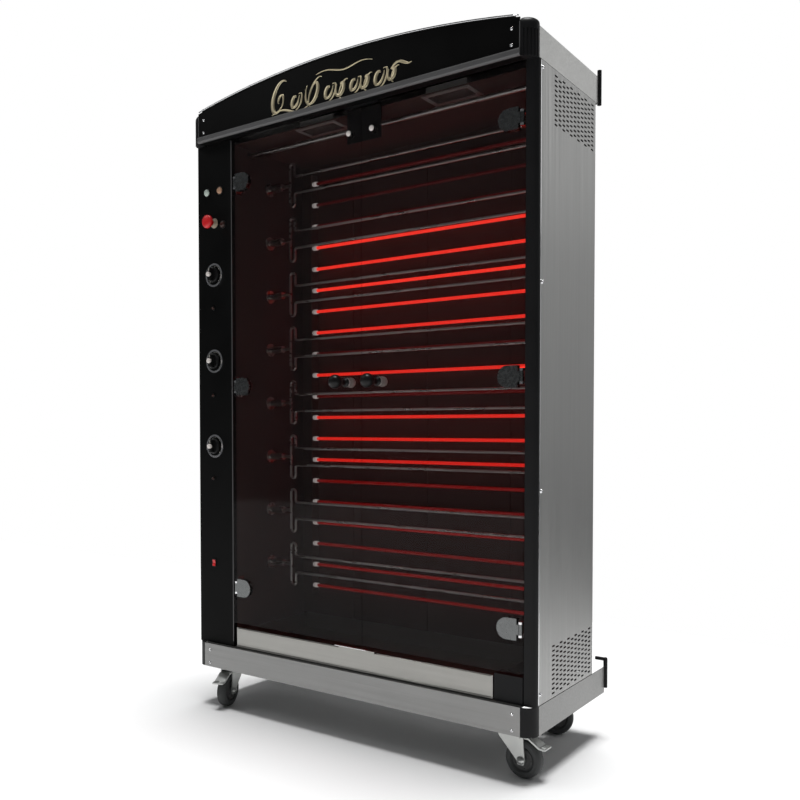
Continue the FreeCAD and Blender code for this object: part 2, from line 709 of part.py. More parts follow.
def clamp(name, x, z):
    """A D-shaped clamp: two plates on the glass, joined to the barrel round the pin."""
    plates = []
    reach = "(clamp_width - clamp_height/2)"
    for tag, y in (("front", "-clamp_wall"), ("back", "glass_wall")):
        flat = box("%s_%s_flat" % (name, tag), reach + " - clamp_start", "clamp_wall",
                   "clamp_height", x + " + clamp_start", y, z + " - clamp_height/2")
        nose = rod("%s_%s_nose" % (name, tag), "clamp_height/2", "clamp_wall",
                   "%s + %s" % (x, reach), y, z, "+Y")
        plates += [flat, nose]
    web = box(name + "_web", "notch_depth - pivot_inset + door_gap", "glass_wall",
              "barrel_height", x, "0", z + " - barrel_height/2")
    barrel = rod(name + "_barrel", "barrel_radius", "barrel_height", x, "glass_wall/2",
                 z + " - barrel_height/2")
    bridge = box(name + "_bridge", "6.5", "glass_wall + 2*clamp_wall", "barrel_height",
                 x + " + clamp_start - 6", "-clamp_wall", z + " - barrel_height/2")
    bore = rod(name + "_bore", "pivot_radius + pivot_fit", "barrel_height + 4", x,
               "glass_wall/2", z + " - barrel_height/2 - 2")
    return cut(name, fuse(name + "_solid", plates + [web, barrel, bridge]), bore)


def door_knob():
    """A ball knob on a stem through the glass, with a bright nut behind it."""
    x = SEAM + " - knob_offset"
    ball = doc.addObject("Part::Sphere", "knob_ball_left")
    bind(ball, Radius="knob_ball")
    place(ball, x, "knob_ball - knob_reach", "knob_z")
    pieces = [
        ball,
        rod("knob_neck", "knob_stem + 4", "knob_reach - knob_ball - 14", x,
            "knob_ball + 14 - knob_reach", "knob_z", "+Y"),
        rod("knob_foot", "14", "4", x, "0", "knob_z", "-Y"),
        rod("knob_shank", "knob_stem", "glass_wall", x, "0", "knob_z", "+Y"),
        rod("knob_nut", "14", "30", x, "glass_wall", "knob_z", "+Y"),
    ]
    return fuse("knob_left", pieces)


def doors():
    glass, fittings, knob = left_door()
    for name, item in (("glass", glass), ("fittings", fittings), ("knob", knob)):
        node("door_left_" + name, item)
        node("door_right_" + name, mirrored("right_" + name, item, SEAM))


# ---------------------------------------------------------------- spits and drive

def sprocket(name, x, z):
    """A toothed wheel about X, cut from a ring of straight-sided teeth."""
    teeth = DIMENSIONS["tooth_count"]
    points = []
    for tooth in range(teeth):
        start = 2 * math.pi * tooth / teeth
        step = 2 * math.pi / teeth
        for share, size in ((0.00, "root_radius"), (0.22, "root_radius"),
                            (0.42, "tip_radius"), (0.58, "tip_radius"), (0.78, "root_radius")):
            radius = number(size)
            angle = start + share * step
            points.append(FreeCAD.Vector(0, radius * math.cos(angle), radius * math.sin(angle)))
    points.append(points[0])
    face = Part.Face(Part.makePolygon(points))
    item = doc.addObject("Part::Feature", name)
    item.Shape = face.extrude(FreeCAD.Vector(number("sprocket_wall"), 0, 0))
    return place(item, x, "spit_y", z)


def fork_rod(name, z):
    """The fork: one rod bent to a bar, two curls and two long needles, swept along a sketch."""
    body = doc.addObject("PartDesign::Body", name)
    path = sketch_on(body, "XZ_Plane", name + "_path")
    half, curl = number("fork_half"), number("curl_radius")
    bend, offset = number("bend_radius"), number("needle_offset")
    reach = number("needle_end - fork_x")
    inner = 2 * curl
    line, vector = Part.LineSegment, FreeCAD.Vector
    up = vector(0, 0, 1)
    turn = math.pi / 2
    for side in (1, -1):
        path_points = [vector(reach, side * offset, 0), vector(inner + bend, side * offset, 0),
                       vector(inner, side * (offset + bend), 0),
                       vector(inner, side * (half - curl), 0), vector(0, side * (half - curl), 0)]
        path.addGeometry(line(path_points[0], path_points[1]))
        corner = Part.Circle(vector(inner + bend, side * (offset + bend), 0), up, bend)
        first = 2 * turn if side > 0 else turn
        path.addGeometry(Part.ArcOfCircle(corner, first, first + turn))
        path.addGeometry(line(path_points[2], path_points[3]))
        top = Part.Circle(vector(curl, side * (half - curl), 0), up, curl)
        first = 0 if side > 0 else 2 * turn
        path.addGeometry(Part.ArcOfCircle(top, first, first + 2 * turn))
    path.addGeometry(line(vector(0, half - curl, 0), vector(0, curl - half, 0)))
    section = sketch_on(body, "YZ_Plane", name + "_section")
    section.AttachmentOffset = FreeCAD.Placement(vector(0, 0, reach), FreeCAD.Rotation())
    section.addGeometry(Part.Circle(vector(0, offset, 0), up, number("needle_radius")))
    pipe = body.newObject("PartDesign::AdditivePipe", name + "_pipe")
    pipe.Profile = section
    pipe.Spine = path
    return place(body, "fork_x", "spit_y", z)


def spit(index):
    """One spit: sprocket, shaft, hub, fork, end yoke and stub, welded into one piece."""
    name = "spit_%d" % (index + 1)
    z = spit_z(index)
    pieces = [
        sprocket(name + "_sprocket", "sprocket_x", z),
        rod(name + "_shaft", "shaft_radius", COLUMN_EDGE + " + 4 - sprocket_x",
            "sprocket_x", "spit_y", z, "+X"),
        rod(name + "_hub", "hub_radius", "hub_end - 4 - " + COLUMN_EDGE,
            COLUMN_EDGE + " + 4", "spit_y", z, "+X"),
        rod(name + "_neck", "needle_radius + 1.2", "fork_x - hub_end + 2", "hub_end",
            "spit_y", z, "+X"),
        fork_rod(name + "_fork", z),
        box(name + "_yoke", "yoke_wall", "3*needle_radius",
            "2*needle_offset + 4*needle_radius", "needle_end - yoke_wall/2",
            "spit_y - 1.5*needle_radius", z + " - needle_offset - 2*needle_radius"),
        rod(name + "_stub", "stub_radius", "20", "needle_end", "spit_y", z, "+X"),
    ]
    node(name, fuse(name, pieces))


def drive():
    """Gearmotor, its sprocket one pitch below the last spit, and the chain round all nine."""
    z = spit_z(SPITS)
    shaft = rod("drive_shaft", "shaft_radius", "46", "sprocket_x + sprocket_wall", "spit_y",
                z, "-X")
    node("drive_sprocket", fuse("drive_sprocket", [sprocket("drive_teeth", "sprocket_x", z),
                                                   shaft]))
    gearbox = box("gearbox", "62", "90", "80", "-590", "spit_y - 45", z + " - 40")
    socket = rod("gearbox_bore", "shaft_radius + pivot_fit", "20", "-548", "spit_y", z, "+X")
    motor = rod("motor_can", "32", "90", "-559", "spit_y + 45", z, "+Y")
    node("drive_motor", cut("drive_motor", fuse("motor_solid", [gearbox, motor]), socket))
    inner = "(tip_radius + chain_gap)"
    outer = "(tip_radius + chain_gap + chain_wall)"
    loops = []
    for tag, radius in (("inner", inner), ("outer", outer)):
        loops.append(fuse("loop_" + tag, [
            rod("loop_top_" + tag, radius, "sprocket_wall - 1", "sprocket_x + 0.5", "spit_y",
                "spit_top", "+X"),
            rod("loop_low_" + tag, radius, "sprocket_wall - 1", "sprocket_x + 0.5", "spit_y",
                z, "+X"),
            box("loop_bar_" + tag, "sprocket_wall - 1", "2*" + radius, "%d*spit_pitch" % SPITS,
                "sprocket_x + 0.5", "spit_y - " + radius, z)]))
    node("drive_chain", cut("drive_chain", loops[1], loops[0]))


def spit_supports():
    """Flanged bearings in the partition, and open hooks on the right wall."""
    pieces = []
    for index in range(SPITS):
        z = spit_z(index)
        name = "bearing_%d" % index
        solid = fuse(name + "_solid", [
            rod(name + "_bush", "bearing_radius", "8", COLUMN_EDGE + " - 6", "spit_y", z, "+X"),
            rod(name + "_flange", "flange_radius", "2.5", COLUMN_EDGE, "spit_y", z, "+X")])
        bore = rod(name + "_bore", "shaft_radius + pivot_fit", "20", COLUMN_EDGE + " - 10",
                   "spit_y", z, "+X")
        pieces.append(cut(name, solid, bore))
        hook = box("hook_%d_block" % index, "12", "30", "36", POST_EDGE + " - 12",
                   "spit_y - 15", z + " - 24")
        seat = rod("hook_%d_seat" % index, "stub_radius + 0.5", "40", POST_EDGE + " - 30",
                   "spit_y", z, "+X")
        way = box("hook_%d_way" % index, "40", "2*stub_radius + 1", "40", POST_EDGE + " - 30",
                  "spit_y - stub_radius - 0.5", z)
        pieces.append(cut("hook_%d" % index, hook, together("hook_%d_slot" % index,
                                                            [seat, way])))
    node("spit_supports", together("spit_supports", pieces))


# ---------------------------------------------------------------- controls

def controls():
    lenses = []
    for index, (x, z, radius) in enumerate(PILOTS):
        profile = [("0", "-6"), (str(radius - 2.3), "-6"), (str(radius - 2.3), "0"),
                   (str(radius), "0"), (str(radius), "2"), (str(radius - 1.5), "5.5"),
                   (str(radius * 0.5), "7.5"), ("0", "8")]
        lenses.append(turned("lens_%d" % index, profile, x, "0", z, "-Y"))
    node("pilot_lamps", together("pilot_lamps", lenses))
    rings = []
    for index, z in enumerate(("dial_top", "dial_mid", "dial_low")):
        ring = rod("ring_%d_outer" % index, "dial_outer", "dial_wall", "dial_x", "0", z, "-Y")
        hole = rod("ring_%d_inner" % index, "dial_inner", "20", "dial_x", "10", z, "-Y")
        rings.append(cut("ring_%d" % index, ring, hole))
        node("thermostat_knob_%d" % (index + 1), dial_knob(index, z))
    collar = rod("stop_collar_outer", "stop_neck + 7", "7", "stop_x", "0", "stop_z", "-Y")
    hole = rod("stop_collar_hole", "stop_neck + 0.5", "20", "stop_x", "10", "stop_z", "-Y")
    rings.append(cut("stop_collar", collar, hole))
    node("dial_rings", together("dial_rings", rings))
    profile = [("0", "-14"), ("stop_neck", "-14"), ("stop_neck", "stop_reach - 15"),
               ("stop_head", "stop_reach - 13"), ("stop_head", "stop_reach - 5"),
               ("0.8*stop_head", "stop_reach - 1.2"), ("0.45*stop_head", "stop_reach"),
               ("0", "stop_reach")]
    node("stop_button", turned("stop_button", profile, "stop_x", "0", "stop_z", "-Y"))
    rocker = box("rocker_block", "rocker_width", "rocker_depth", "rocker_height",
                 "rocker_x - rocker_width/2", "-4", "rocker_z - rocker_height/2")
    trunnion = rod("rocker_pin", "rocker_pin", "rocker_width + 6",
                   "rocker_x - rocker_width/2 - 3", "rocker_axis", "rocker_z", "+X")
    node("rocker_switch", fuse("rocker_solid", [rocker, trunnion]))
    gear = [box("relay_box", "110", "40", "180", "-590", "body_depth - 42", "878"),
            box("terminal_strip", "90", "24", "60", "-580", "body_depth - 26", "338"),
            box("stop_contact", "34", "30", "36", "stop_x - 17", "22", "stop_z - 18"),
            box("rocker_contact", "18", "20", "26", "rocker_x - 9", "15", "rocker_z - 13")]
    for index, z in enumerate(("dial_top", "dial_mid", "dial_low")):
        gear.append(box("thermostat_%d" % index, "44", "30", "50", "dial_x - 22", "9",
                        z + " - 25"))
    node("control_gear", together("control_gear", gear))


def dial_knob(index, z):
    """A round thermostat knob with a raised grip bar, on a spindle through the fascia."""
    name = "dial_%d" % index
    profile = [("0", "-7"), ("dial_spindle", "-7"), ("dial_spindle", "1"),
               ("dial_knob", "1"), ("dial_knob", "7"), ("dial_knob - 3", "11"), ("0", "11")]
    dish = turned(name + "_dish", profile, "dial_x", "0", z, "-Y")
    grip = box(name + "_grip", "12", "22", "2*dial_knob - 6", "dial_x - 6", "-24",
               z + " - dial_knob + 3")
    return fuse(name, [dish, grip])


# ---------------------------------------------------------------- drawer and plumbing

def drawer():
    """The drip drawer: an open tray behind a front plate with a raised handle."""
    width = "(drawer_right - drawer_left)"
    front = box("drawer_front", width, "drawer_wall", "drawer_high - drawer_low",
                "drawer_left", "0", "drawer_low")
    tab = box("drawer_tab", "drawer_handle", "10", "handle_rise",
              "handle_x - drawer_handle/2", "-6", "drawer_high - 2")
    outer = box("tray_outer", width + " - 16", "drawer_depth", "drawer_high - drawer_low - 8",
                "drawer_left + 8", "0", "drawer_low + 1")
    inner = box("tray_inner", width + " - 16 - 2*drawer_wall",
                "drawer_depth - 2*drawer_wall", "drawer_high",
                "drawer_left + 8 + drawer_wall", "drawer_wall", "drawer_low + 1 + drawer_wall")
    tray = cut("drawer_tray", outer, inner)
    node("drip_drawer", fuse("drip_drawer", [front, tab, tray]))


def service_parts():
    low = BODY_FLOOR + " + channel_wall"
    cover = box("cover_block", "80", "40", "68", "482", "0", low)
    hollow = box("cover_hollow", "76", "40", "64", "484", "2", low + " + 2")
    node("service_cover", cut("service_cover", cover, hollow))
    pipe = rod("spigot_pipe", "8", "150", "-252", "188", "53")
    nut = rod("spigot_nut", "13", "10", "-252", "188", BODY_FLOOR + " - 10")
    body = rod("spigot_valve", "12", "26", "-252", "188", "73")
    lever = box("spigot_lever", "7", "44", "5", "-255.5", "150", "84")
    bore = rod("spigot_bore", "6", "200", "-252", "188", "28")
    node("drain_spigot", cut("drain_spigot", fuse("spigot_solid", [pipe, nut, body, lever]),
                             bore))
    gland = turned("gland_body", [("7", "-12"), ("9.9", "-12"), ("9.9", "0"),
                                  ("16", "0"), ("16", "6"), ("13", "8"), ("13", "16"),
                                  ("11", "22"), ("7", "22")], "-520",
                   "body_depth + sheet_gauge", "gland_z", "+Y")
    node("cable_gland", gland)


# ---------------------------------------------------------------- casters
# A caster is drawn about its kingpin, with the wheel trailing towards -Y, and then placed.

def caster(tag, x, y, degrees, braked):
    """A swivel fork with kingpin and axle, its wheel, and a brake pedal on a front one."""
    parts = [("fork", caster_fork(tag, braked)), ("wheel", caster_wheel(tag))]
    if braked:
        parts.append(("pedal", brake_pedal(tag)))
    for name, item in parts:
        place(item, x, y, "0", about((0, 0, 1), degrees))
        node("caster_%s_%s" % (tag, name), item)


def caster_fork(tag, braked):
    head = "caster_height - 12"
    pieces = [
        rod(tag + "_race", "race_radius", "11.5", "0", "0", head, datum="0"),
        rod(tag + "_kingpin", "kingpin_radius", "24", "0", "0", head, datum="0"),
        box(tag + "_bridge", "fork_gap + 2*fork_wall", "trail + race_radius + 6", "fork_wall",
            "-fork_gap/2 - fork_wall", "-trail - 6", head, datum="0"),
        rod(tag + "_axle", "axle_radius", "fork_gap + 2*fork_wall + 8",
            "-fork_gap/2 - fork_wall - 4", "-trail", "wheel_radius", "+X", datum="0"),
    ]
    corners = [("-trail - 6", head), ("-trail - 12", "wheel_radius"),
               ("-trail - 8", "wheel_radius - 12"), ("-trail + 8", "wheel_radius - 12"),
               ("-trail + 13", "wheel_radius"), ("race_radius", "caster_height - 24"),
               ("race_radius", head)]
    for name, start in (("outer", "fork_gap/2"), ("inner", "-fork_gap/2 - fork_wall")):
        pieces.append(prism("%s_leg_%s" % (tag, name), "YZ_Plane", corners, "fork_wall",
                            start, "0", "0", datum="0"))
    fork = fuse(tag + "_fork_solid", pieces)
    if not braked:
        return fork
    return cut(tag + "_fork_bored", fork, pedal_pin(tag + "_pedal_bore", "pivot_fit"))


def pedal_pin(name, extra):
    return rod(name, "pedal_pin + " + extra, "fork_gap + 2*fork_wall + 4",
               "-fork_gap/2 - fork_wall - 2", "-trail + 6", "caster_height - 20", "+X", datum="0")


def caster_wheel(tag):
    """A rubber-tyred wheel turned about its axle."""
    body = doc.addObject("PartDesign::Body", tag + "_wheel_body")
    sketch = sketch_on(body, "XY_Plane", tag + "_wheel_sketch")
    tread = [("fork_gap/2 - 1", "axle_radius + pivot_fit"), ("fork_gap/2 - 1", "11"),
             ("wheel_width/2 - 5", "14"), ("wheel_width/2 - 5", "0.6*wheel_radius"),
             ("wheel_width/2", "0.68*wheel_radius"), ("wheel_width/2", "wheel_radius - 7"),
             ("wheel_width/2 - 3", "wheel_radius - 2"), ("wheel_width/2 - 9", "wheel_radius")]
    far_side = [("-(%s)" % u, v) for u, v in reversed(tread)]
    outline(sketch, tread + far_side)
    turn = body.newObject("PartDesign::Revolution", tag + "_wheel_turn")
    turn.Profile = sketch
    turn.ReferenceAxis = (sketch, ["H_Axis"])
    turn.Angle = FULL_TURN
    place(body, "0", "-trail", "wheel_radius", datum="0")
    return together(tag + "_wheel_solid", [body])


def brake_pedal(tag):
    """A pedal on a pin through the fork's legs, which reaches out over the tyre."""
    corners = [("-trail + 12", "caster_height - 18"), ("-trail - 20", "caster_height - 18"),
               ("-trail - 50", "caster_height - 36"), ("-trail - 66", "caster_height - 38"),
               ("-trail - 66", "caster_height - 42"), ("-trail - 48", "caster_height - 40.5"),
               ("-trail - 19", "caster_height - 22"), ("-trail + 12", "caster_height - 22")]
    tread = prism(tag + "_tread", "YZ_Plane", corners, "fork_gap - 2", "1 - fork_gap/2",
                  "0", "0", datum="0")
    return fuse(tag + "_pedal_solid", [tread, pedal_pin(tag + "_pedal_pin", "0")])


# ---------------------------------------------------------------- build and write

base_frame()
corner_profiles()
floor_pan()
side_panels()
back_panel()
control_column()
partition()
cavity_liner()
header()
header_caps()
crown_panels()
panel_screws()
heating_tubes()
ceiling_fittings()
catch_plate()
hinge_brackets()
doors()
for number_of_spit in range(SPITS):
    spit(number_of_spit)
drive()
spit_supports()
controls()
drawer()
service_parts()
REST_ANGLES = {"front_left": 17, "front_right": 88, "rear_left": 24, "rear_right": -66}
for caster_tag, caster_x, caster_y in CASTERS:
    caster(caster_tag, caster_x, caster_y, REST_ANGLES[caster_tag],
           caster_tag.startswith("front"))

doc.recompute()
for item in doc.Objects:
    if "Invalid" in item.State or "Error" in item.State:
        raise RuntimeError("%s did not build: %s" % (item.Label, item.State))

os.makedirs("parts", exist_ok=True)
for stale in os.listdir("parts"):
    os.remove(os.path.join("parts", stale))
for item in nodes:
    if item.Shape.isNull() or not item.Shape.isValid() or not item.Shape.Solids:
        raise RuntimeError("%s has no valid solid" % item.Label)
    item.Shape.exportStep("parts/%s.step" % item.Label)
whole = FreeCAD.BoundBox()
for item in nodes:
    whole.add(item.Shape.BoundBox)
print("%d nodes, box %s" % (len(nodes), whole))
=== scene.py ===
import json
import math
import bmesh
import bpy
from mathutils import Matrix, Vector


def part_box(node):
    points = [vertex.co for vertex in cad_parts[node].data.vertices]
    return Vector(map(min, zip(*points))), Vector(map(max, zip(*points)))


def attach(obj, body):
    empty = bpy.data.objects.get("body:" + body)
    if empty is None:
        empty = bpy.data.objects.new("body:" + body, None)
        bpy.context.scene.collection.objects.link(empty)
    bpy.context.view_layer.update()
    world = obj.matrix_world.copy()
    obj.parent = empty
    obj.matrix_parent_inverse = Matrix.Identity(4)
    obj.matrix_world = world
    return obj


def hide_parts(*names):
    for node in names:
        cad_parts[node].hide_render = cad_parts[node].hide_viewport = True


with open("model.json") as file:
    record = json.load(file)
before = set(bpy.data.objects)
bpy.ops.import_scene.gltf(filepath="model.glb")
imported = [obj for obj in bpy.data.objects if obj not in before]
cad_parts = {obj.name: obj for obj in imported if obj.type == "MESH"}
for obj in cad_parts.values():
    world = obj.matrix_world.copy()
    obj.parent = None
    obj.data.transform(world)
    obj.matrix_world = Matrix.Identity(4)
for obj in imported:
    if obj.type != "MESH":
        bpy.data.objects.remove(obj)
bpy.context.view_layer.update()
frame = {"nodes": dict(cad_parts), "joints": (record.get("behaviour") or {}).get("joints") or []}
NODES = frame["nodes"]

# Places that the frame gives. All lengths in this file are in metres.
COLUMN_LOW, COLUMN_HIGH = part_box("control_column")
FASCIA_LOW, FASCIA_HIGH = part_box("header_fascia")
GLASS_LEFT_LOW, GLASS_LEFT_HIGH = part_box("door_left_glass")
LINER_LOW, LINER_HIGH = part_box("cavity_liner")
TUBES_LOW, TUBES_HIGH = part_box("heating_tubes")
SIDE_LOW, SIDE_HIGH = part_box("side_panel_right")
BASE_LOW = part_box("base_frame")[0]
CROWN_LOW, CROWN_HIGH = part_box("crown_panels")
BACK_LOW, BACK_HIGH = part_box("back_panel")
DRAWER_LOW, DRAWER_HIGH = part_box("drip_drawer")
FRONT = COLUMN_LOW.y            # the front plane of the column and of the doors' glass
TUBE_COUNT = 20
SPIT_COUNT = 8
DIAL_COUNT = 3
TUBE_RADIUS = (TUBES_HIGH.y - TUBES_LOW.y) / 2
TUBE_PITCH = (TUBES_HIGH.z - TUBES_LOW.z - 2 * TUBE_RADIUS) / (TUBE_COUNT - 1)
ARCH_RISE = 0.0519              # how far the header's arch stands above its own ends
ROOF_TOP = CROWN_HIGH.z - 0.0058
ROCKER_PIN = 0.003              # how far the rocker's pin stands out of each side of it
CLAMP_HEIGHT = 0.04             # the door clamps are taller than this, the catch is not
SMALL_SCREW = (0.0035, 0.0024)  # radius and height of a screw's head
CLAMP_SCREW = (0.0042, 0.0022)
PLATE_SCREW = (0.0022, 0.0014)
HAIR = 0.0001                   # keeps a flat face clear of the face that it lies on
SIDES = (-1, 1)
FORWARD, BACKWARD, UP = (0, -1, 0), (0, 1, 0), (0, 0, 1)


# ---------------------------------------------------------------- materials

def shader_of(made):
    return made.node_tree.nodes["Principled BSDF"]


def paint(name, colour, metallic=0.0, roughness=0.5, **sockets):
    """A Principled material with its constant values on its own sockets."""
    made = bpy.data.materials.new(name)
    made.use_nodes = True
    shader = shader_of(made)
    shader.inputs["Base Color"].default_value = (*colour, 1.0)
    shader.inputs["Metallic"].default_value = metallic
    shader.inputs["Roughness"].default_value = roughness
    for socket, value in sockets.items():
        shader.inputs[socket.replace("_", " ")].default_value = value
    return made


def add(made, kind, **values):
    """Add a shader node and set its inputs by name."""
    item = made.node_tree.nodes.new(kind)
    for name, value in values.items():
        item.inputs[name].default_value = value
    return item


def link(made, source, target):
    made.node_tree.links.new(source, target)


def grain(made, scale, stretch=(1, 1, 1), detail=4.0):
    """Noise in object space, stretched along an axis for a brushed look."""
    place = add(made, "ShaderNodeTexCoord")
    mapping = add(made, "ShaderNodeMapping", Scale=stretch)
    noise = add(made, "ShaderNodeTexNoise", Scale=scale, Detail=detail)
    link(made, place.outputs["Object"], mapping.inputs["Vector"])
    link(made, mapping.outputs["Vector"], noise.inputs["Vector"])
    return noise.outputs["Fac"]


def spread(made, factor, socket, low, high):
    """Let a noise, most of which lies from 0.3 to 0.7, move a value between two limits."""
    ranged = add(made, "ShaderNodeMapRange", **{"From Min": 0.3, "From Max": 0.7,
                                                "To Min": low, "To Max": high})
    link(made, factor, ranged.inputs["Value"])
    link(made, ranged.outputs["Result"], shader_of(made).inputs[socket])


def tint(made, factor, dark, light):
    """Let a noise move the colour between two colours."""
    mixed = made.node_tree.nodes.new("ShaderNodeMix")
    mixed.data_type = "RGBA"
    mixed.inputs[6].default_value = (*dark, 1.0)
    mixed.inputs[7].default_value = (*light, 1.0)
    link(made, factor, mixed.inputs[0])
    link(made, mixed.outputs[2], shader_of(made).inputs["Base Color"])


def relief(made, factor, strength, distance):
    """Let a noise raise and lower the surface."""
    bump = add(made, "ShaderNodeBump", Strength=strength, Distance=distance)
    link(made, factor, bump.inputs["Height"])
    link(made, bump.outputs["Normal"], shader_of(made).inputs["Normal"])


def brushed(name, light, dark, stretch, roughness):
    """Stainless sheet with fine streaks along one axis and faint cloudy wear."""
    made = paint(name, light, 1.0, roughness)
    streak = grain(made, 1.0, stretch, 3.0)
    cloud = grain(made, 6.0, detail=3.0)
    tint(made, cloud, dark, light)
    spread(made, streak, "Roughness", roughness - 0.05, roughness + 0.09)
    relief(made, streak, 0.12, 0.0004)
    return made


def satin(name, colour, roughness, speck=900.0, strength=0.1, specular=0.3, wear=1.5):
    """Painted or moulded surface with a fine orange-peel texture and uneven gloss."""
    made = paint(name, colour, 0.0, roughness, Specular_IOR_Level=specular)
    fine = grain(made, speck, detail=2.0)
    broad = grain(made, 9.0)
    tint(made, broad, colour, tuple(min(1.0, wear * part) for part in colour))
    spread(made, broad, "Roughness", roughness - 0.05, roughness + 0.08)
    relief(made, fine, strength, 0.0003)
    return made


def dark_wall(name, colour, roughness):
    """Heat-browned enamel that takes up the glow of the tubes, with faint broad stains."""
    made = paint(name, colour, 0.0, roughness, Specular_IOR_Level=0.05)
    broad = grain(made, 3.5)
    tint(made, broad, tuple(0.7 * part for part in colour), colour)
    spread(made, broad, "Roughness", roughness - 0.04, roughness + 0.1)
    return made


def clear(name, colour, alpha, roughness=0.03):
    """Tinted see-through sheet."""
    made = paint(name, colour, 0.0, roughness, Alpha=alpha, Specular_IOR_Level=0.16)
    smear = grain(made, 5.0, (1, 1, 0.4), 3.0)
    spread(made, smear, "Roughness", roughness, roughness + 0.03)
    return made


# How brightly each heating tube glows, from the top one down.
TUBE_GLOW = [0.03, 0.02, 0.05, 1.0, 0.95, 1.0, 0.9, 0.85, 0.04, 0.8,
             0.05, 0.75, 0.7, 0.6, 0.12, 0.10, 0.14, 0.10, 0.12, 0.10]


def tube_material(name, strength):
    """The glow of the stacked tubes: each height on the stack has its own brightness."""
    made = paint(name, (0.10, 0.02, 0.02), 0.0, 0.25, Specular_IOR_Level=0.4)
    place = add(made, "ShaderNodeTexCoord")
    split = add(made, "ShaderNodeSeparateXYZ")
    margin = TUBE_RADIUS - TUBE_PITCH / 2
    ranged = add(made, "ShaderNodeMapRange", **{"From Min": TUBES_LOW.z + margin,
                                                "From Max": TUBES_HIGH.z - margin})
    link(made, place.outputs["Object"], split.inputs["Vector"])
    link(made, split.outputs["Z"], ranged.inputs["Value"])
    ramp = add(made, "ShaderNodeValToRGB")
    ramp.color_ramp.interpolation = "CONSTANT"
    stops = ramp.color_ramp.elements
    for index, level in enumerate(reversed(TUBE_GLOW)):
        spot = index / TUBE_COUNT
        stop = stops[index] if index < 2 else stops.new(spot)
        stop.position = spot
        warmth = level * level
        stop.color = (level, 0.035 * warmth, 0.02 * warmth, 1.0)
    link(made, ranged.outputs["Result"], ramp.inputs["Fac"])
    link(made, ramp.outputs["Color"], shader_of(made).inputs["Emission Color"])
    shader_of(made).inputs["Emission Strength"].default_value = strength
    coil = grain(made, 1.0, (700, 3, 3), 1.0)
    spread(made, coil, "Roughness", 0.2, 0.45)
    return made


STEEL_UP = brushed("steel_upright", (0.42, 0.42, 0.41), (0.39, 0.39, 0.385), (260, 260, 2.5), 0.46)
STEEL_ALONG = brushed("steel_along", (0.42, 0.42, 0.41), (0.39, 0.39, 0.38), (2.5, 260, 260), 0.36)
STEEL_WARM = brushed("steel_drawer", (0.37, 0.365, 0.345), (0.34, 0.335, 0.315),
                     (2.5, 260, 260), 0.36)
STEEL_BASE = brushed("steel_base", (0.29, 0.29, 0.285), (0.26, 0.26, 0.255), (2.5, 260, 260), 0.40)
STEEL_SPIT = brushed("steel_spit", (0.68, 0.65, 0.62), (0.52, 0.49, 0.47), (12, 90, 90), 0.28)
CHROME = brushed("bright_steel", (0.80, 0.80, 0.81), (0.70, 0.70, 0.71), (40, 40, 40), 0.14)
ZINC = brushed("zinc_plate", (0.56, 0.57, 0.55), (0.44, 0.45, 0.44), (30, 30, 30), 0.36)
CLAMP = brushed("clamp_metal", (0.16, 0.165, 0.165), (0.15, 0.155, 0.155), (120, 120, 120), 0.24)
BLACK_SHEET = satin("black_fascia", (0.0035, 0.0036, 0.0036), 0.42, 1400, 0.08, 0.05)
BLACK_HEADER = satin("black_header", (0.0035, 0.0035, 0.0035), 0.36, 1400, 0.06, 0.05)
BLACK_PROFILE = satin("black_profile", (0.008, 0.008, 0.0085), 0.42, 1100, 0.14, 0.16)
LIP_GREY = satin("lip_grey", (0.075, 0.074, 0.075), 0.38, 1100, 0.08, 0.45)
BLACK_PLASTIC = satin("black_plastic", (0.006, 0.006, 0.006), 0.30, 700, 0.12, 0.22)
DARK_IRON = satin("dark_casting", (0.05, 0.05, 0.05), 0.6, 300, 0.5, 0.4)
RUBBER = satin("tyre_rubber", (0.045, 0.047, 0.047), 0.62, 500, 0.3, 0.35)
RED_PLASTIC = satin("red_plastic", (0.62, 0.012, 0.016), 0.28, 500, 0.05, 0.5, 1.2)
CERAMIC = satin("ceramic_white", (0.82, 0.76, 0.72), 0.4, 500, 0.1, 0.5, 1.1)
# Ceramic with a faint white emission: painted light, so that the tube end caps, which sit in
# shade, look bright
CERAMIC_PAINTED_GLOW = satin("ceramic_painted_glow", (0.82, 0.76, 0.72), 0.4, 500, 0.1, 0.5, 1.1)
shader_of(CERAMIC_PAINTED_GLOW).inputs["Emission Color"].default_value = (1.0, 0.93, 0.9, 1.0)
shader_of(CERAMIC_PAINTED_GLOW).inputs["Emission Strength"].default_value = 0.45
LAMP_WHITE = satin("lamp_enamel", (0.34, 0.33, 0.32), 0.4, 500, 0.1, 0.5, 1.1)
ENAMEL = dark_wall("dark_enamel", (0.105, 0.058, 0.052), 0.55)
SMOKED = clear("smoked_glass", (0.012, 0.010, 0.010), 0.34)
LAMP_GLASS = clear("lamp_glass", (0.16, 0.13, 0.12), 0.55, 0.12)
GLOW_TUBES = tube_material("tube_glow", 1.9)
GREEN_LENS = satin("green_lens", (0.58, 0.68, 0.61), 0.25, 300, 0.05, 0.6, 1.1)
AMBER_LENS = satin("amber_lens", (0.46, 0.27, 0.17), 0.25, 300, 0.05, 0.6, 1.2)
DARK_LENS = satin("dark_lens", (0.035, 0.012, 0.008), 0.25, 300, 0.05, 0.5, 1.2)
GOLD = brushed("gold_ornament", (0.83, 0.74, 0.52), (0.74, 0.63, 0.40), (60, 60, 60), 0.34)
BEIGE = satin("beige_collar", (0.30, 0.24, 0.17), 0.4, 400, 0.05, 0.4, 1.1)
CREAM = satin("cream_mark", (0.62, 0.60, 0.54), 0.4, 400, 0.05, 0.4, 1.1)


def dress(material, *names):
    """Give whole nodes one material."""
    for name in names:
        mesh = NODES[name].data
        mesh.materials.clear()
        mesh.materials.append(material)


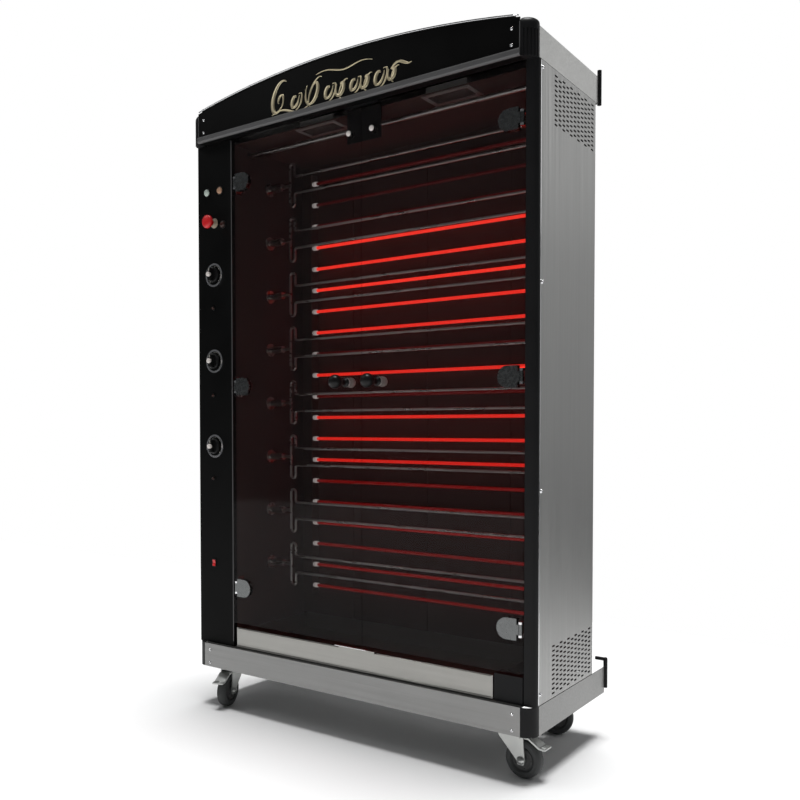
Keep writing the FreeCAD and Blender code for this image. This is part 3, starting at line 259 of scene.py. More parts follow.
def dress_nodes():
    """Give every node of the frame its material, and each pilot lamp its own lens."""
    dress(STEEL_UP, "side_panel_left", "side_panel_right", "back_panel")
    dress(STEEL_ALONG, "crown_panels", "floor_pan")
    dress(STEEL_BASE, "base_frame")
    dress(STEEL_WARM, "drip_drawer")
    dress(BLACK_PROFILE, "corner_profiles", "header_caps", "catch_plate", "service_cover")
    dress(BLACK_SHEET, "control_column")
    dress(BLACK_HEADER, "header_fascia")
    dress(LIP_GREY, "header_lip")
    dress(ENAMEL, "partition", "cavity_liner")
    dress(CHROME, "panel_screws", "hinge_brackets", "dial_rings", "drain_spigot")
    dress(GLOW_TUBES, "heating_tubes")
    # The end caps' glow is painted light: it brightens caps that sit in shade
    dress(CERAMIC_PAINTED_GLOW, "tube_end_caps")
    dress(LAMP_WHITE, "ceiling_lamps")
    dress(STEEL_SPIT, "ceiling_bar", "drive_chain", "spit_supports", "drive_sprocket")
    dress(BLACK_PLASTIC, "control_gear", "cable_gland")
    dress(DARK_IRON, "drive_motor")
    dress(RED_PLASTIC, "stop_button", "rocker_switch")
    for index in range(1, SPIT_COUNT + 1):
        dress(STEEL_SPIT, "spit_%d" % index)
    for index in range(1, DIAL_COUNT + 1):
        dress(BLACK_PLASTIC, "thermostat_knob_%d" % index)
    for side in ("left", "right"):
        dress(SMOKED, "door_%s_glass" % side)
        dress(CLAMP, "door_%s_fittings" % side)
        dress(BLACK_PLASTIC, "door_%s_knob" % side)
        for end in ("front", "rear"):
            dress(ZINC, "caster_%s_%s_fork" % (end, side))
            dress(RUBBER, "caster_%s_%s_wheel" % (end, side))
        dress(ZINC, "caster_front_%s_pedal" % side)
    mesh = NODES["pilot_lamps"].data
    mesh.materials.clear()
    for material in (GREEN_LENS, AMBER_LENS, DARK_LENS):
        mesh.materials.append(material)
    upper_pair, between_pair = COLUMN_HIGH.z - 0.2, -0.53
    for face in mesh.polygons:
        lit = 0 if face.center.x < between_pair else 1
        face.material_index = lit if face.center.z > upper_pair else 2


def soften(names, width, segments=2, angle=40):
    """Ease the edges of a node's sheet or casting so that they catch the light."""
    for name in names:
        eased = NODES[name].modifiers.new("eased", "BEVEL")
        eased.width = width
        eased.segments = segments
        eased.limit_method = "ANGLE"
        eased.angle_limit = math.radians(angle)


# ---------------------------------------------------------------- mesh helpers

def piece(name, build, material, body, smooth=True):
    """Build a new piece, link it, colour it, and let it ride on its body."""
    item = bpy.data.objects.new(name, mesh_from(name, build, smooth))
    bpy.context.scene.collection.objects.link(item)
    item.data.materials.clear()
    item.data.materials.append(material)
    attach(item, body)
    return item


def mesh_from(name, build, smooth=True):
    """Run a builder on an empty shape and make a mesh of what it leaves there."""
    shape = bmesh.new()
    build(shape)
    bmesh.ops.recalc_face_normals(shape, faces=shape.faces)
    mesh = bpy.data.meshes.new(name)
    shape.to_mesh(mesh)
    shape.free()
    for face in mesh.polygons:
        face.use_smooth = smooth
    return mesh


def circle(count, radius=1.0):
    """Evenly spaced points of a circle."""
    angles = [2 * math.pi * step / count for step in range(count)]
    return [(radius * math.cos(angle), radius * math.sin(angle)) for angle in angles]


def face_centre(low, high):
    """The middle of a box in the front view, as x and z."""
    return (low.x + high.x) / 2, (low.z + high.z) / 2


def strip(shape, one, two):
    """Faces between two open rows of points."""
    for step in range(len(one) - 1):
        shape.faces.new((one[step], one[step + 1], two[step + 1], two[step]))


def belt(shape, one, two):
    """Faces between two closed rings of points."""
    for step in range(len(one)):
        follower = (step + 1) % len(one)
        shape.faces.new((one[step], one[follower], two[follower], two[step]))


def basis(direction):
    """A turn that takes +Z to a direction."""
    return Vector(UP).rotation_difference(Vector(direction)).to_matrix().to_4x4()


def lathe(shape, profile, spot, direction, steps):
    """Turn a (radius, height) outline about a direction through a spot."""
    turn = Matrix.Translation(spot) @ basis(direction)
    rings = []
    for radius, height in profile:
        if radius < 1e-6:
            rings.append([shape.verts.new(turn @ Vector((0, 0, height)))])
            continue
        rings.append([shape.verts.new(turn @ Vector((x, y, height)))
                      for x, y in circle(steps, radius)])
    for one, two in zip(rings, rings[1:]):
        for step in range(steps):
            follower = (step + 1) % steps
            corners = [one[step % len(one)], one[follower % len(one)],
                       two[follower % len(two)], two[step % len(two)]]
            unique = list(dict.fromkeys(corners))
            if len(unique) > 2:
                shape.faces.new(unique)


def block(shape, low, high, ease=0.0, segments=2):
    """A box between two corners with eased edges."""
    low, high = Vector(low), Vector(high)
    made = bmesh.ops.create_cube(shape, size=1.0)["verts"]
    size = high - low
    for vertex in made:
        vertex.co = Vector(((vertex.co.x + 0.5) * size.x + low.x,
                            (vertex.co.y + 0.5) * size.y + low.y,
                            (vertex.co.z + 0.5) * size.z + low.z))
    if ease:
        edges = list({edge for vertex in made for edge in vertex.link_edges})
        bmesh.ops.bevel(shape, geom=edges, offset=ease, segments=segments, profile=0.5,
                        affect="EDGES")


def tube(shape, points, radius, steps, closed=False):
    """A round bar along a list of points."""
    count = len(points)
    rings = []
    for index, point in enumerate(points):
        before = points[index - 1] if index or closed else point
        after = points[(index + 1) % count] if index + 1 < count or closed else point
        direction = (Vector(after) - Vector(before)).normalized()
        turn = direction.to_track_quat("Z", "Y").to_matrix()
        rings.append([shape.verts.new(Vector(point) + turn @ Vector((x, y, 0)))
                      for x, y in circle(steps, radius)])
    pairs = list(zip(rings, rings[1:]))
    if closed:
        pairs.append((rings[-1], rings[0]))
    for one, two in pairs:
        belt(shape, one, two)
    if not closed:
        shape.faces.new(rings[0])
        shape.faces.new(rings[-1])


def islands(name):
    """The separate solids of a node, each as its lowest and its highest corner."""
    mesh = NODES[name].data
    keys = [tuple(round(part, 5) for part in vertex.co) for vertex in mesh.vertices]
    parent = {key: key for key in keys}

    def root(key):
        while parent[key] != key:
            parent[key] = parent[parent[key]]
            key = parent[key]
        return key
    for edge in mesh.edges:
        one, two = (root(keys[index]) for index in edge.vertices)
        parent[one] = two
    groups = {}
    for key in parent:
        groups.setdefault(root(key), []).append(Vector(key))
    found = []
    for group in groups.values():
        low = Vector([min(point[axis] for point in group) for axis in range(3)])
        high = Vector([max(point[axis] for point in group) for axis in range(3)])
        found.append((low, high))
    return found


def middle(pair):
    """The middle of a box given as its two corners."""
    return (pair[0] + pair[1]) / 2


JOINTS = {joint["name"]: joint for joint in frame["joints"]}


# ---------------------------------------------------------------- header

def arc_height(x):
    """The height of the header's arch above the floor at a distance from its middle."""
    half = (FASCIA_HIGH.x - FASCIA_LOW.x) / 2
    radius = (half * half + ARCH_RISE * ARCH_RISE) / (2 * ARCH_RISE)
    return FASCIA_HIGH.z - radius + math.sqrt(radius * radius - x * x)


# The ornament's brush strokes: how far they stand out of the header, and their section as
# shares of the half width and of that depth.
STROKE_DEPTH = 0.0016
STROKE_SECTION = ((-1.0, 0.0), (-0.6, 0.8), (0.0, 1.0), (0.6, 0.8), (1.0, 0.0))
STROKE_TALLER, STROKE_THICKER = 1.35, 1.25
# Each scroll's place along the header and its size.
SCROLLS = ((-0.155, 0.020), (-0.085, 0.036), (-0.030, 0.020), (0.015, 0.022),
           (0.060, 0.018), (0.100, 0.020), (0.145, 0.022), (0.190, 0.018))
TALL_SCROLL = 0.03              # a scroll larger than this stands higher than the rest


def stroke(shape, points, thick, face_y):
    """A raised brush stroke on the header: wide in the middle and fine at its ends."""
    count = len(points)
    rows = []
    for index, (x, z) in enumerate(points):
        before = Vector(points[max(0, index - 1)])
        after = Vector(points[min(count - 1, index + 1)])
        along = (after - before).normalized()
        share = index / (count - 1)
        swell = math.sin(math.pi * share) ** 0.7
        slant = 0.45 + 0.55 * abs(along.y)      # a stroke is fuller where it runs upright
        size = thick * (0.16 + 0.84 * swell * slant) / 2
        across = Vector((-along.y, along.x)) * size
        row = []
        for side, depth in STROKE_SECTION:
            row.append(shape.verts.new((x + across.x * side, face_y - STROKE_DEPTH * depth,
                                        z + across.y * side)))
        rows.append(row)
    for one, two in zip(rows, rows[1:]):
        strip(shape, one, two)
    for row in (rows[0], rows[-1]):
        shape.faces.new(row)
    for one, two in zip(rows, rows[1:]):
        shape.faces.new((one[0], two[0], two[-1], one[-1]))


def curl(cx, cz, start, sweep, first, last, lean=0.35):
    """Points of a spiral that leans to the right like handwriting."""
    squeeze, steps = 0.8, 36
    points = []
    for index in range(steps + 1):
        share = index / steps
        angle = math.radians(start + sweep * share)
        radius = first + (last - first) * share
        z = radius * math.sin(angle)
        points.append((cx + radius * squeeze * math.cos(angle) + lean * z, cz + z))
    return points


def wave(x0, x1, z0, height, waves, rise=0.0):
    """Points of a long flourish that rises and falls."""
    steps = 60
    points = []
    for index in range(steps + 1):
        share = index / steps
        points.append((x0 + (x1 - x0) * share,
                       z0 + rise * share + height * math.sin(2 * math.pi * waves * share)))
    return points


def header_ornament():
    """A run of gold scrolls on the header, with flourishes at its ends and above it."""
    face = FASCIA_LOW.y
    base = FASCIA_LOW.z + 0.064
    middle_x = -0.003           # the run's own middle

    def build(shape):
        lay = [(curl(middle_x - 0.215, base, 60, 250, 0.040, 0.024), 0.013),
               (curl(middle_x - 0.213, base - 0.004, -60, 300, 0.020, 0.004), 0.008)]
        for index, (shift, size) in enumerate(SCROLLS):
            turn = 1 if index % 2 else -1
            cz = base if size > TALL_SCROLL else base - 0.010
            lay.append((curl(middle_x + shift, cz, 90 + 70 * turn, 330 * turn,
                             size, size * 0.28), 0.011))
            lay.append((curl(middle_x + shift + 0.012, cz - 0.004, -90, -200 * turn,
                             size * 0.9, size * 0.75, lean=0.5), 0.006))
        lay.append((wave(middle_x - 0.245, middle_x - 0.105, base - 0.030, 0.006, 1.0), 0.008))
        lay.append((wave(middle_x + 0.185, middle_x + 0.252, base - 0.004, 0.007, 0.8,
                         rise=0.010), 0.009))
        lay.append((wave(middle_x - 0.075, middle_x + 0.125, base + 0.029, 0.004, 1.5,
                         rise=-0.003), 0.006))
        for points, thick in lay:
            stroke(shape, [(x, base + (z - base) * STROKE_TALLER) for x, z in points],
                   thick * STROKE_THICKER, face)
    piece("header_ornament", build, GOLD, "cabinet")


def header_trim():
    """A thin bright bead along the top of the arch, and end beads beside the fluted caps."""
    steps = 72
    x0, x1 = FASCIA_LOW.x + 0.004, FASCIA_HIGH.x - 0.004

    def bead(shape):
        points = []
        for index in range(steps + 1):
            x = x0 + (x1 - x0) * index / steps
            points.append((x, FASCIA_LOW.y - 0.0012, arc_height(x) + 0.0035))
        tube(shape, points, 0.0017, 8)
    piece("header_trim", bead, CHROME, "cabinet")

    def seams(shape):
        for side in SIDES:
            x = side * (FASCIA_HIGH.x - 0.001)
            block(shape, (x - 0.0012, FASCIA_LOW.y - 0.0008, FASCIA_LOW.z + 0.004),
                  (x + 0.0012, FASCIA_LOW.y + 0.004, FASCIA_HIGH.z - 0.062), 0.0004)
    piece("header_seams", seams, LIP_GREY, "cabinet", smooth=False)


# ---------------------------------------------------------------- screws

def arc(radius, centre, start, steps):
    """The outline of a ball for lathe, from a start angle in degrees up to its pole."""
    points = []
    for index in range(steps):
        angle = math.radians(start + (90 - start) * index / steps)
        points.append((radius * math.cos(angle), centre + radius * math.sin(angle)))
    return points + [(0.0, centre + radius)]


def screw(shape, spot, direction, radius, height):
    """A domed head with a washer and a socket."""
    lathe(shape, [(0, -height * 0.2), (radius * 1.25, -height * 0.2),
                  (radius * 1.25, height * 0.12), (radius * 1.18, height * 0.2),
                  (radius, height * 0.22), (radius * 0.96, height * 0.5),
                  (radius * 0.78, height * 0.85), (radius * 0.48, height),
                  (radius * 0.42, height * 0.96), (radius * 0.38, height * 0.45),
                  (0, height * 0.4)], spot, direction, 24)


def screws_on_panels():
    """Screw heads in place of the plain ones, found from the frame's own solids."""
    without_washer = 0.8

    def build(shape):
        for low, high in islands("panel_screws"):
            size = high - low
            spot = middle((low, high))
            if size.y < size.x and size.y < size.z:
                screw(shape, Vector((spot.x, high.y, spot.z)), FORWARD,
                      size.x / 2 * without_washer, size.y)
            else:
                side = 1 if spot.x > 0 else -1
                base = low.x if side > 0 else high.x
                screw(shape, Vector((base, spot.y, spot.z)), (side, 0, 0),
                      size.z / 2 * without_washer, size.x)
    item = piece("screw_heads", build, CHROME, "cabinet")
    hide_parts("panel_screws")


def screws_on_back():
    """Rows of small screws round the back panel and along both sides of the roof."""
    inset = 0.012               # from the panel's edge to its rows of screws
    tall_rows, wide_rows = 7, 6

    def build(shape):
        back = BACK_HIGH.y
        for side in SIDES:
            for index in range(tall_rows):
                z = BACK_LOW.z + 0.06 + index * (BACK_HIGH.z - BACK_LOW.z - 0.12) / (tall_rows - 1)
                screw(shape, Vector((side * (BACK_HIGH.x - inset), back, z)), BACKWARD,
                      *SMALL_SCREW)
        for index in range(wide_rows):
            x = BACK_LOW.x + 0.12 + index * (BACK_HIGH.x - BACK_LOW.x - 0.24) / (wide_rows - 1)
            for z in (BACK_LOW.z + inset, BACK_HIGH.z - inset):
                screw(shape, Vector((x, back, z)), BACKWARD, *SMALL_SCREW)
        for side in SIDES:
            for share in (0.14, 0.5, 0.86):
                y = CROWN_LOW.y + (CROWN_HIGH.y - CROWN_LOW.y - 0.05) * share
                screw(shape, Vector((side * 0.575, y, ROOF_TOP)), UP, *SMALL_SCREW)
    piece("back_screws", build, ZINC, "cabinet")


# ---------------------------------------------------------------- controls

def dial(index):
    """A thermostat knob: fluted skirt, raised grip, pale domed cap and pointer line."""
    node = "thermostat_knob_%d" % index
    low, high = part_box(node)
    cx, cz = face_centre(low, high)
    radius = (high.x - low.x) / 2
    front = low.y
    skirt = FRONT - 0.011
    flutes, flute_depth, grip_half = 30, 0.0008, 0.0062

    def body(shape):
        outline = []
        for step, (across, rise) in enumerate(circle(2 * flutes)):
            size = radius - (flute_depth if step % 2 else 0.0)
            outline.append((size * across, size * rise))
        rings = []
        for level, share in ((FRONT - 0.001, 0.90), (FRONT - 0.002, 0.985),
                             (FRONT - 0.0075, 1.0), (skirt + 0.0008, 0.955), (skirt, 0.90)):
            rings.append([shape.verts.new((cx + x * share, level, cz + z * share))
                          for x, z in outline])
        for one, two in zip(rings, rings[1:]):
            belt(shape, one, two)
        shape.faces.new(rings[0])
        shape.faces.new(rings[-1])
        block(shape, (cx - grip_half, front, low.z + 0.0035),
              (cx + grip_half, skirt + 0.001, high.z - 0.0035), 0.0022, 3)
        lathe(shape, [(0, -0.008), (0.0038, -0.008), (0.0038, 0.002), (0, 0.002)],
              Vector((cx, FRONT, cz)), FORWARD, 20)
    item = piece("dial_knob_%d" % index, body, BLACK_PLASTIC, node,
                 smooth=False)
    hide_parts(node)

    def cap(shape):
        lathe(shape, [(0, -0.003), (0.0074, -0.003), (0.0076, 0.0040), (0.0070, 0.0056),
                      (0.0040, 0.0066), (0, 0.0069)], Vector((cx, front, cz)),
              FORWARD, 32)
    piece("dial_cap_%d" % index, cap, CERAMIC, node)

    def pointer(shape):
        block(shape, (cx - 0.0011, front - 0.0003, cz + 0.010),
              (cx + 0.0011, front + 0.001, high.z - 0.005), 0.0002)
    piece("dial_pointer_%d" % index, pointer, CREAM, node, smooth=False)
    return cx, cz


def dial_marks(places):
    """The printed scale round each knob: long and short strokes."""
    strokes, first_angle, pitch, outer = 19, 225, 15, 0.0295

    def build(shape):
        for cx, cz in places:
            for index in range(strokes):
                angle = math.radians(first_angle - pitch * index)
                long = index % 3 == 0
                inner, wide = (0.0255, 0.0007) if long else (0.0268, 0.0004)
                along = Vector((math.cos(angle), 0, math.sin(angle)))
                across = Vector((-math.sin(angle), 0, math.cos(angle)))
                centre = Vector((cx, FRONT, cz))
                corners = []
                for depth in (0.0004, -0.0003):
                    for reach, side in ((inner, -1), (inner, 1), (outer, 1), (outer, -1)):
                        corners.append(shape.verts.new(centre + along * reach
                                                       + across * side * wide
                                                       + Vector((0, depth, 0))))
                back, face = corners[:4], corners[4:]
                shape.faces.new(face)
                shape.faces.new(back)
                belt(shape, back, face)
    piece("dial_scales", build, CREAM, "cabinet", smooth=False)


def stop_head():
    """The mushroom stop button with a ribbed rim, and its two-part collar."""
    low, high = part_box("stop_button")
    cx, cz = face_centre(low, high)
    radius = (high.x - low.x) / 2
    reach = FRONT - low.y

    def build(shape):
        lathe(shape, [(0, -0.012), (0.0088, -0.012), (0.0088, reach - 0.016),
                      (radius * 0.80, reach - 0.0142), (radius * 0.98, reach - 0.0135),
                      (radius, reach - 0.0125), (radius, reach - 0.0062),
                      (radius * 0.97, reach - 0.0048), (radius * 0.82, reach - 0.0022),
                      (radius * 0.52, reach - 0.0004), (0, reach)],
              Vector((cx, FRONT, cz)), FORWARD, 48)
        for x, z in circle(24, radius - 0.0004):
            spot = Vector((cx + x, low.y + 0.0124, cz + z))
            lathe(shape, [(0, 0), (0.0007, 0.0002), (0.0007, 0.0056), (0, 0.006)], spot,
                  FORWARD, 8)
    item = piece("stop_head", build, RED_PLASTIC, "stop_button")
    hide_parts("stop_button")

    def collar(shape):
        lathe(shape, [(0.0096, 0.0), (0.0152, 0.0), (0.0152, 0.0075), (0.0146, 0.0086),
                      (0.0112, 0.0092), (0.0108, 0.0175), (0.0098, 0.0185),
                      (0.0096, 0.0185), (0.0096, 0.0)],
              Vector((cx, FRONT - HAIR, cz)), FORWARD, 36)
    piece("stop_collar", collar, BEIGE, "cabinet")


def pilot_rims():
    """A bezel round each of the pilot lamps."""
    def rims(shape):
        for low, high in islands("pilot_lamps"):
            radius = (high.x - low.x) / 2
            cx, cz = face_centre(low, high)
            lathe(shape, [(radius * 1.02, 0.0), (radius * 1.26, 0.0),
                          (radius * 1.26, 0.0016), (radius * 1.2, 0.0026),
                          (radius * 1.06, 0.003), (radius * 1.02, 0.0022),
                          (radius * 1.02, 0.0)],
                  Vector((cx, FRONT - HAIR, cz)), FORWARD, 32)
    piece("pilot_rims", rims, BLACK_PLASTIC, "cabinet")


def rocker_parts():
    """The bezel of the red rocker, and the rocker with its two tilted faces."""
    low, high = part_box("rocker_switch")
    low.x, high.x = low.x + ROCKER_PIN, high.x - ROCKER_PIN
    cx, cz = face_centre(low, high)
    wide, tall = high.x - low.x, high.z - low.z

    def rim(shape):
        edge, gap, depth = 0.0028, 0.0003, 0.0022
        for x0, x1, z0, z1 in ((low.x - edge, low.x - gap, low.z - edge, high.z + edge),
                               (high.x + gap, high.x + edge, low.z - edge, high.z + edge),
                               (low.x - edge, high.x + edge, low.z - edge, low.z - gap),
                               (low.x - edge, high.x + edge, high.z + gap, high.z + edge)):
            block(shape, (x0, FRONT - depth, z0), (x1, FRONT - HAIR, z1), 0.0006)
    piece("rocker_rim", rim, BLACK_PLASTIC, "cabinet", smooth=False)

    def key(shape):
        half, tip, rear = wide / 2 - 0.0002, tall / 2 - 0.0004, 0.0055
        outline = [(rear, -tip), (-0.0036, -tip), (-0.0030, -tall / 6), (-0.0018, 0.0),
                   (-0.0026, tall / 6), (-0.0039, tip), (rear, tip)]
        sides = []
        for side in (-half, half):
            sides.append([shape.verts.new((cx + side, FRONT + y, cz + z))
                          for y, z in outline])
            shape.faces.new(sides[-1])
        belt(shape, *sides)
    item = piece("rocker_key", key, RED_PLASTIC, "rocker_switch", smooth=False)
    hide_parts("rocker_switch")


# ---------------------------------------------------------------- doors

def door_parts(side):
    """A door's small parts: screws behind its clamps, the bright head of its catch, the
    knob's ball, and the knob's domed cap behind the glass, painted white as a painted highlight."""
    sign = -1 if side == "left" else 1
    body = "door_" + side
    fittings = islands("door_%s_fittings" % side)
    clamps = [pair for pair in fittings if pair[1].z - pair[0].z > CLAMP_HEIGHT]

    def bolts(shape):
        for pair in clamps:
            centre = middle(pair)
            for rise in (-0.012, 0.012):
                spot = Vector((centre.x - sign * 0.004, pair[1].y, centre.z + rise))
                screw(shape, spot, BACKWARD, *CLAMP_SCREW)
    piece("door_%s_screws" % side, bolts, CHROME, body)
    strike = min(fittings, key=lambda pair: pair[1].z - pair[0].z)
    spot = middle(strike)

    def head(shape):
        lathe(shape, [(0, -0.001), (0.0078, -0.001), (0.0078, 0.0012), (0.0060, 0.0034),
                      (0.0030, 0.0042), (0, 0.0044)], Vector((spot.x, strike[0].y, spot.z)),
              FORWARD, 28)
    piece("door_%s_strike" % side, head, CERAMIC, body)
    knob_low, knob_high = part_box("door_%s_knob" % side)
    kx, kz = face_centre(knob_low, knob_high)
    radius = (knob_high.x - knob_low.x) / 2
    reach = FRONT - knob_low.y

    def ball(shape):
        centre = reach - radius
        profile = [(0, -0.006), (0.0048, -0.006), (0.0048, 0.0004), (0.0132, 0.0004),
                   (0.0136, 0.0012), (0.0132, 0.0036), (0.0105, 0.0046), (0.0082, 0.008),
                   (0.0080, centre - radius * 0.93)]
        profile += arc(radius, centre, -62, 18)[1:]
        lathe(shape, profile, Vector((kx, FRONT, kz)), FORWARD, 48)
    item = piece("door_%s_ball" % side, ball, BLACK_PLASTIC, body)
    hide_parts("door_%s_knob" % side)

    # The cap's white stands in for the bright highlight on a dark dome: a painted highlight, not
    # the cap's own colour
    def cap(shape):
        profile = [(0.0035, -0.0062), (0.0048, -0.0062), (0.0048, 0.0), (0.0130, 0.0),
                   (0.0136, 0.0010), (0.0130, 0.0024), (0.0092, 0.0030), (0.0088, 0.0060)]
        profile += arc(0.0148, 0.0178, -48, 12) + profile[:1]
        lathe(shape, profile, Vector((kx, GLASS_LEFT_HIGH.y, kz)), BACKWARD, 40)
    piece("door_%s_cap" % side, cap, CERAMIC, body)


# ---------------------------------------------------------------- cavity

def lamps():
    """A reeded, frosted pane and a tube bulb in each of the two ceiling lamps."""
    inset, reeds = 0.013, 9
    shells = sorted(islands("ceiling_lamps"), key=lambda pair: pair[0].x)
    for index, (low, high) in enumerate(shells, start=1):
        def pane(shape):
            block(shape, (low.x + inset, low.y + inset, low.z + 0.0006),
                  (high.x - inset, high.y - inset, low.z + 0.0030), 0.0006)
            pitch = (high.x - low.x - 2 * inset - 0.02) / (reeds - 1)
            for step in range(reeds):
                x = low.x + inset + 0.010 + step * pitch
                tube(shape, [(x, low.y + inset + 0.002, low.z + 0.0012),
                             (x, high.y - inset - 0.002, low.z + 0.0012)], 0.0009, 6)
        piece("lamp_pane_%d" % index, pane, LAMP_GLASS, "cabinet")

        def bulb(shape):
            y, z = (low.y + high.y) / 2, low.z + 0.014
            tube(shape, [(low.x + 0.022, y, z), (high.x - 0.022, y, z)], 0.005, 16)
            for x in (low.x + 0.018, high.x - 0.026):
                block(shape, (x, y - 0.008, z - 0.008), (x + 0.008, y + 0.008, z + 0.008),
                      0.001)
        piece("lamp_bulb_%d" % index, bulb, LAMP_WHITE, "cabinet")


def tube_springs():
    """A wire ring and a wall clip on each ceramic end of the heating tubes."""
    y = (TUBES_LOW.y + TUBES_HIGH.y) / 2
    reach = 0.011               # from the tube's end out to the ring

    def build(shape):
        for index in range(TUBE_COUNT):
            z = TUBES_HIGH.z - TUBE_RADIUS - index * TUBE_PITCH
            for x in (TUBES_LOW.x - reach, TUBES_HIGH.x + reach):
                ring = [(x, y + across, z + rise) for across, rise in circle(20, 0.0080)]
                tube(shape, ring, 0.0009, 6, closed=True)
                block(shape, (x - 0.003, y + 0.0068, z - 0.004),
                      (x + 0.003, y + 0.0185, z + 0.004), 0.0006)
    piece("tube_clips", build, STEEL_SPIT, "cabinet")


def cavity_seams():
    """Upright seams and two level ones on the cavity's back wall."""
    wall = TUBES_HIGH.y + 0.0165
    upright_half, level_half, ease = 0.006, 0.009, 0.0007

    def build(shape):
        for x in (-0.23, 0.06, 0.35):
            block(shape, (x - upright_half, wall - 0.0018, LINER_LOW.z + 0.03),
                  (x + upright_half, wall + 0.001, LINER_HIGH.z - 0.06), ease)
        for z in (LINER_LOW.z + 0.040, LINER_HIGH.z - 0.055):
            block(shape, (LINER_LOW.x + 0.02, wall - 0.0022, z - level_half),
                  (LINER_HIGH.x - 0.02, wall + 0.001, z + level_half), ease)
    piece("cavity_seams", build, ENAMEL, "cabinet", smooth=False)


# ---------------------------------------------------------------- casters

# Of each caster: from the wheel's middle to its hub face and to its axle nuts, the circle of
# the hub's rivets, the tread, and how far the swivel race starts below the base.
HUB_FACE, NUT_FACE = 0.0098, 0.0222
HUB_RIVETS, TREAD_RADIUS = 0.0245, 0.0490
RACE_DROP = 0.0090


def caster_parts(tag):
    """Hub caps, tread ribs, axle nuts and swivel race of one caster, from its joints."""
    joint = JOINTS["wheel_%s_roll" % tag]
    centre = Vector(joint["pos_m"])
    axle = Vector(joint["axis"]).normalized()
    side_turn = basis(axle)

    def hub(shape):
        for sign in SIDES:
            face = centre + axle * sign * HUB_FACE
            lathe(shape, [(0.0060, -0.001), (0.0285, -0.001), (0.0285, 0.0012),
                          (0.0271, 0.0026), (0.0225, 0.0022), (0.0200, 0.0010),
                          (0.0130, 0.0012), (0.0118, 0.0050), (0.0070, 0.0062),
                          (0.0060, 0.0058), (0.0060, -0.001)], face, axle * sign, 36)
            for x, y in circle(5, HUB_RIVETS):
                lathe(shape, [(0, 0), (0.0020, 0), (0.0020, 0.0034), (0.0012, 0.0040),
                              (0, 0.0040)], face + side_turn @ Vector((x, y, 0)),
                      axle * sign, 12)
    piece("hub_" + tag, hub, DARK_IRON, "wheel_" + tag)

    def tread(shape):
        for shift in (-0.006, 0.0, 0.006):
            ring = [centre + side_turn @ Vector((x, y, shift))
                    for x, y in circle(48, TREAD_RADIUS)]
            tube(shape, ring, 0.0009, 6, closed=True)
    piece("tread_" + tag, tread, RUBBER, "wheel_" + tag)

    def nuts(shape):
        for sign in SIDES:
            spot = centre + axle * sign * NUT_FACE
            lathe(shape, [(0, 0), (0.0105, 0), (0.0105, 0.0012), (0.0088, 0.0013),
                          (0.0088, 0.0052), (0.0078, 0.0062), (0.0048, 0.0064),
                          (0.0046, 0.0080), (0, 0.0082)], spot, axle * sign, 18)
    piece("axle_nuts_" + tag, nuts, ZINC, "caster_" + tag)

    swivel = JOINTS["caster_%s_swivel" % tag]["pos_m"]
    pivot = Vector((swivel[0], swivel[1], BASE_LOW.z - RACE_DROP))

    def race(shape):
        lathe(shape, [(0.0285, 0.0), (0.0330, 0.0007), (0.0346, 0.0025),
                      (0.0340, 0.0057), (0.0300, 0.0075), (0.0285, 0.0075),
                      (0.0285, 0.0)], pivot, UP, 40)
    piece("race_" + tag, race, ZINC, "caster_" + tag)


def pedal_ribs(tag):
    """Raised grip ribs across a brake pedal's tread."""
    joint = JOINTS["pedal_%s_press" % tag]
    axle = Vector(joint["axis"]).normalized()
    forward = Vector((axle.y, -axle.x, 0)).normalized()
    pin = Vector(joint["pos_m"])

    def build(shape):
        half = axle * 0.0155
        for reach, drop in ((0.060, 0.0169), (0.064, 0.0174), (0.068, 0.0179)):
            spot = pin + forward * reach - Vector(UP) * drop
            tube(shape, [spot - half, spot + half], 0.0011, 8)
    piece("pedal_ribs_" + tag, build, ZINC, "pedal_" + tag)


# ---------------------------------------------------------------- outside details

def edge_trims():
    """The bright edge along the front of each side panel, and a grey strip on the column."""
    def build(shape):
        for sign in SIDES:
            x0, x1 = sorted((sign * (SIDE_HIGH.x - 0.0034), sign * (SIDE_HIGH.x + 0.0008)))
            block(shape, (x0, SIDE_LOW.y - 0.0012, SIDE_LOW.z + 0.002),
                  (x1, SIDE_LOW.y + 0.0016, SIDE_HIGH.z - 0.002), 0.0005)
    piece("edge_trims", build, CHROME, "cabinet", smooth=False)

    def column_strip(shape):
        x = COLUMN_HIGH.x
        block(shape, (x - 0.0030, FRONT - 0.0011, GLASS_LEFT_LOW.z - 0.06),
              (x + 0.0002, FRONT + 0.0004, GLASS_LEFT_HIGH.z), 0.0004)
    piece("column_edge_strip", column_strip, LIP_GREY, "cabinet", smooth=False)


# The louvres on the back: the height where each group starts, and where its columns start.
LOUVRE_GROUPS, LOUVRE_COUNT, LOUVRE_PITCH = (0.62, 1.32), 10, 0.020
LOUVRE_COLUMNS = (-0.46, -0.30)


def louvre(shape, x, back, z):
    """One pressed louvre: half a round bar on the panel, drawn down flat at its two ends."""
    size, bulge, facets = 0.0052, 0.85, 8
    angles = [math.pi * share / facets for share in range(facets + 1)]
    ends = []
    for along, squeeze in ((0.0, 0.15), (0.012, 1.0), (0.108, 1.0), (0.120, 0.15)):
        ends.append([shape.verts.new((x + along,
                                      back - 0.0004 + size * math.sin(angle) * bulge * squeeze,
                                      z - size * math.cos(angle))) for angle in angles])
    for one, two in zip(ends, ends[1:]):
        strip(shape, one, two)
        shape.faces.new((one[0], two[0], two[-1], one[-1]))
    shape.faces.new(ends[0])
    shape.faces.new(ends[-1])


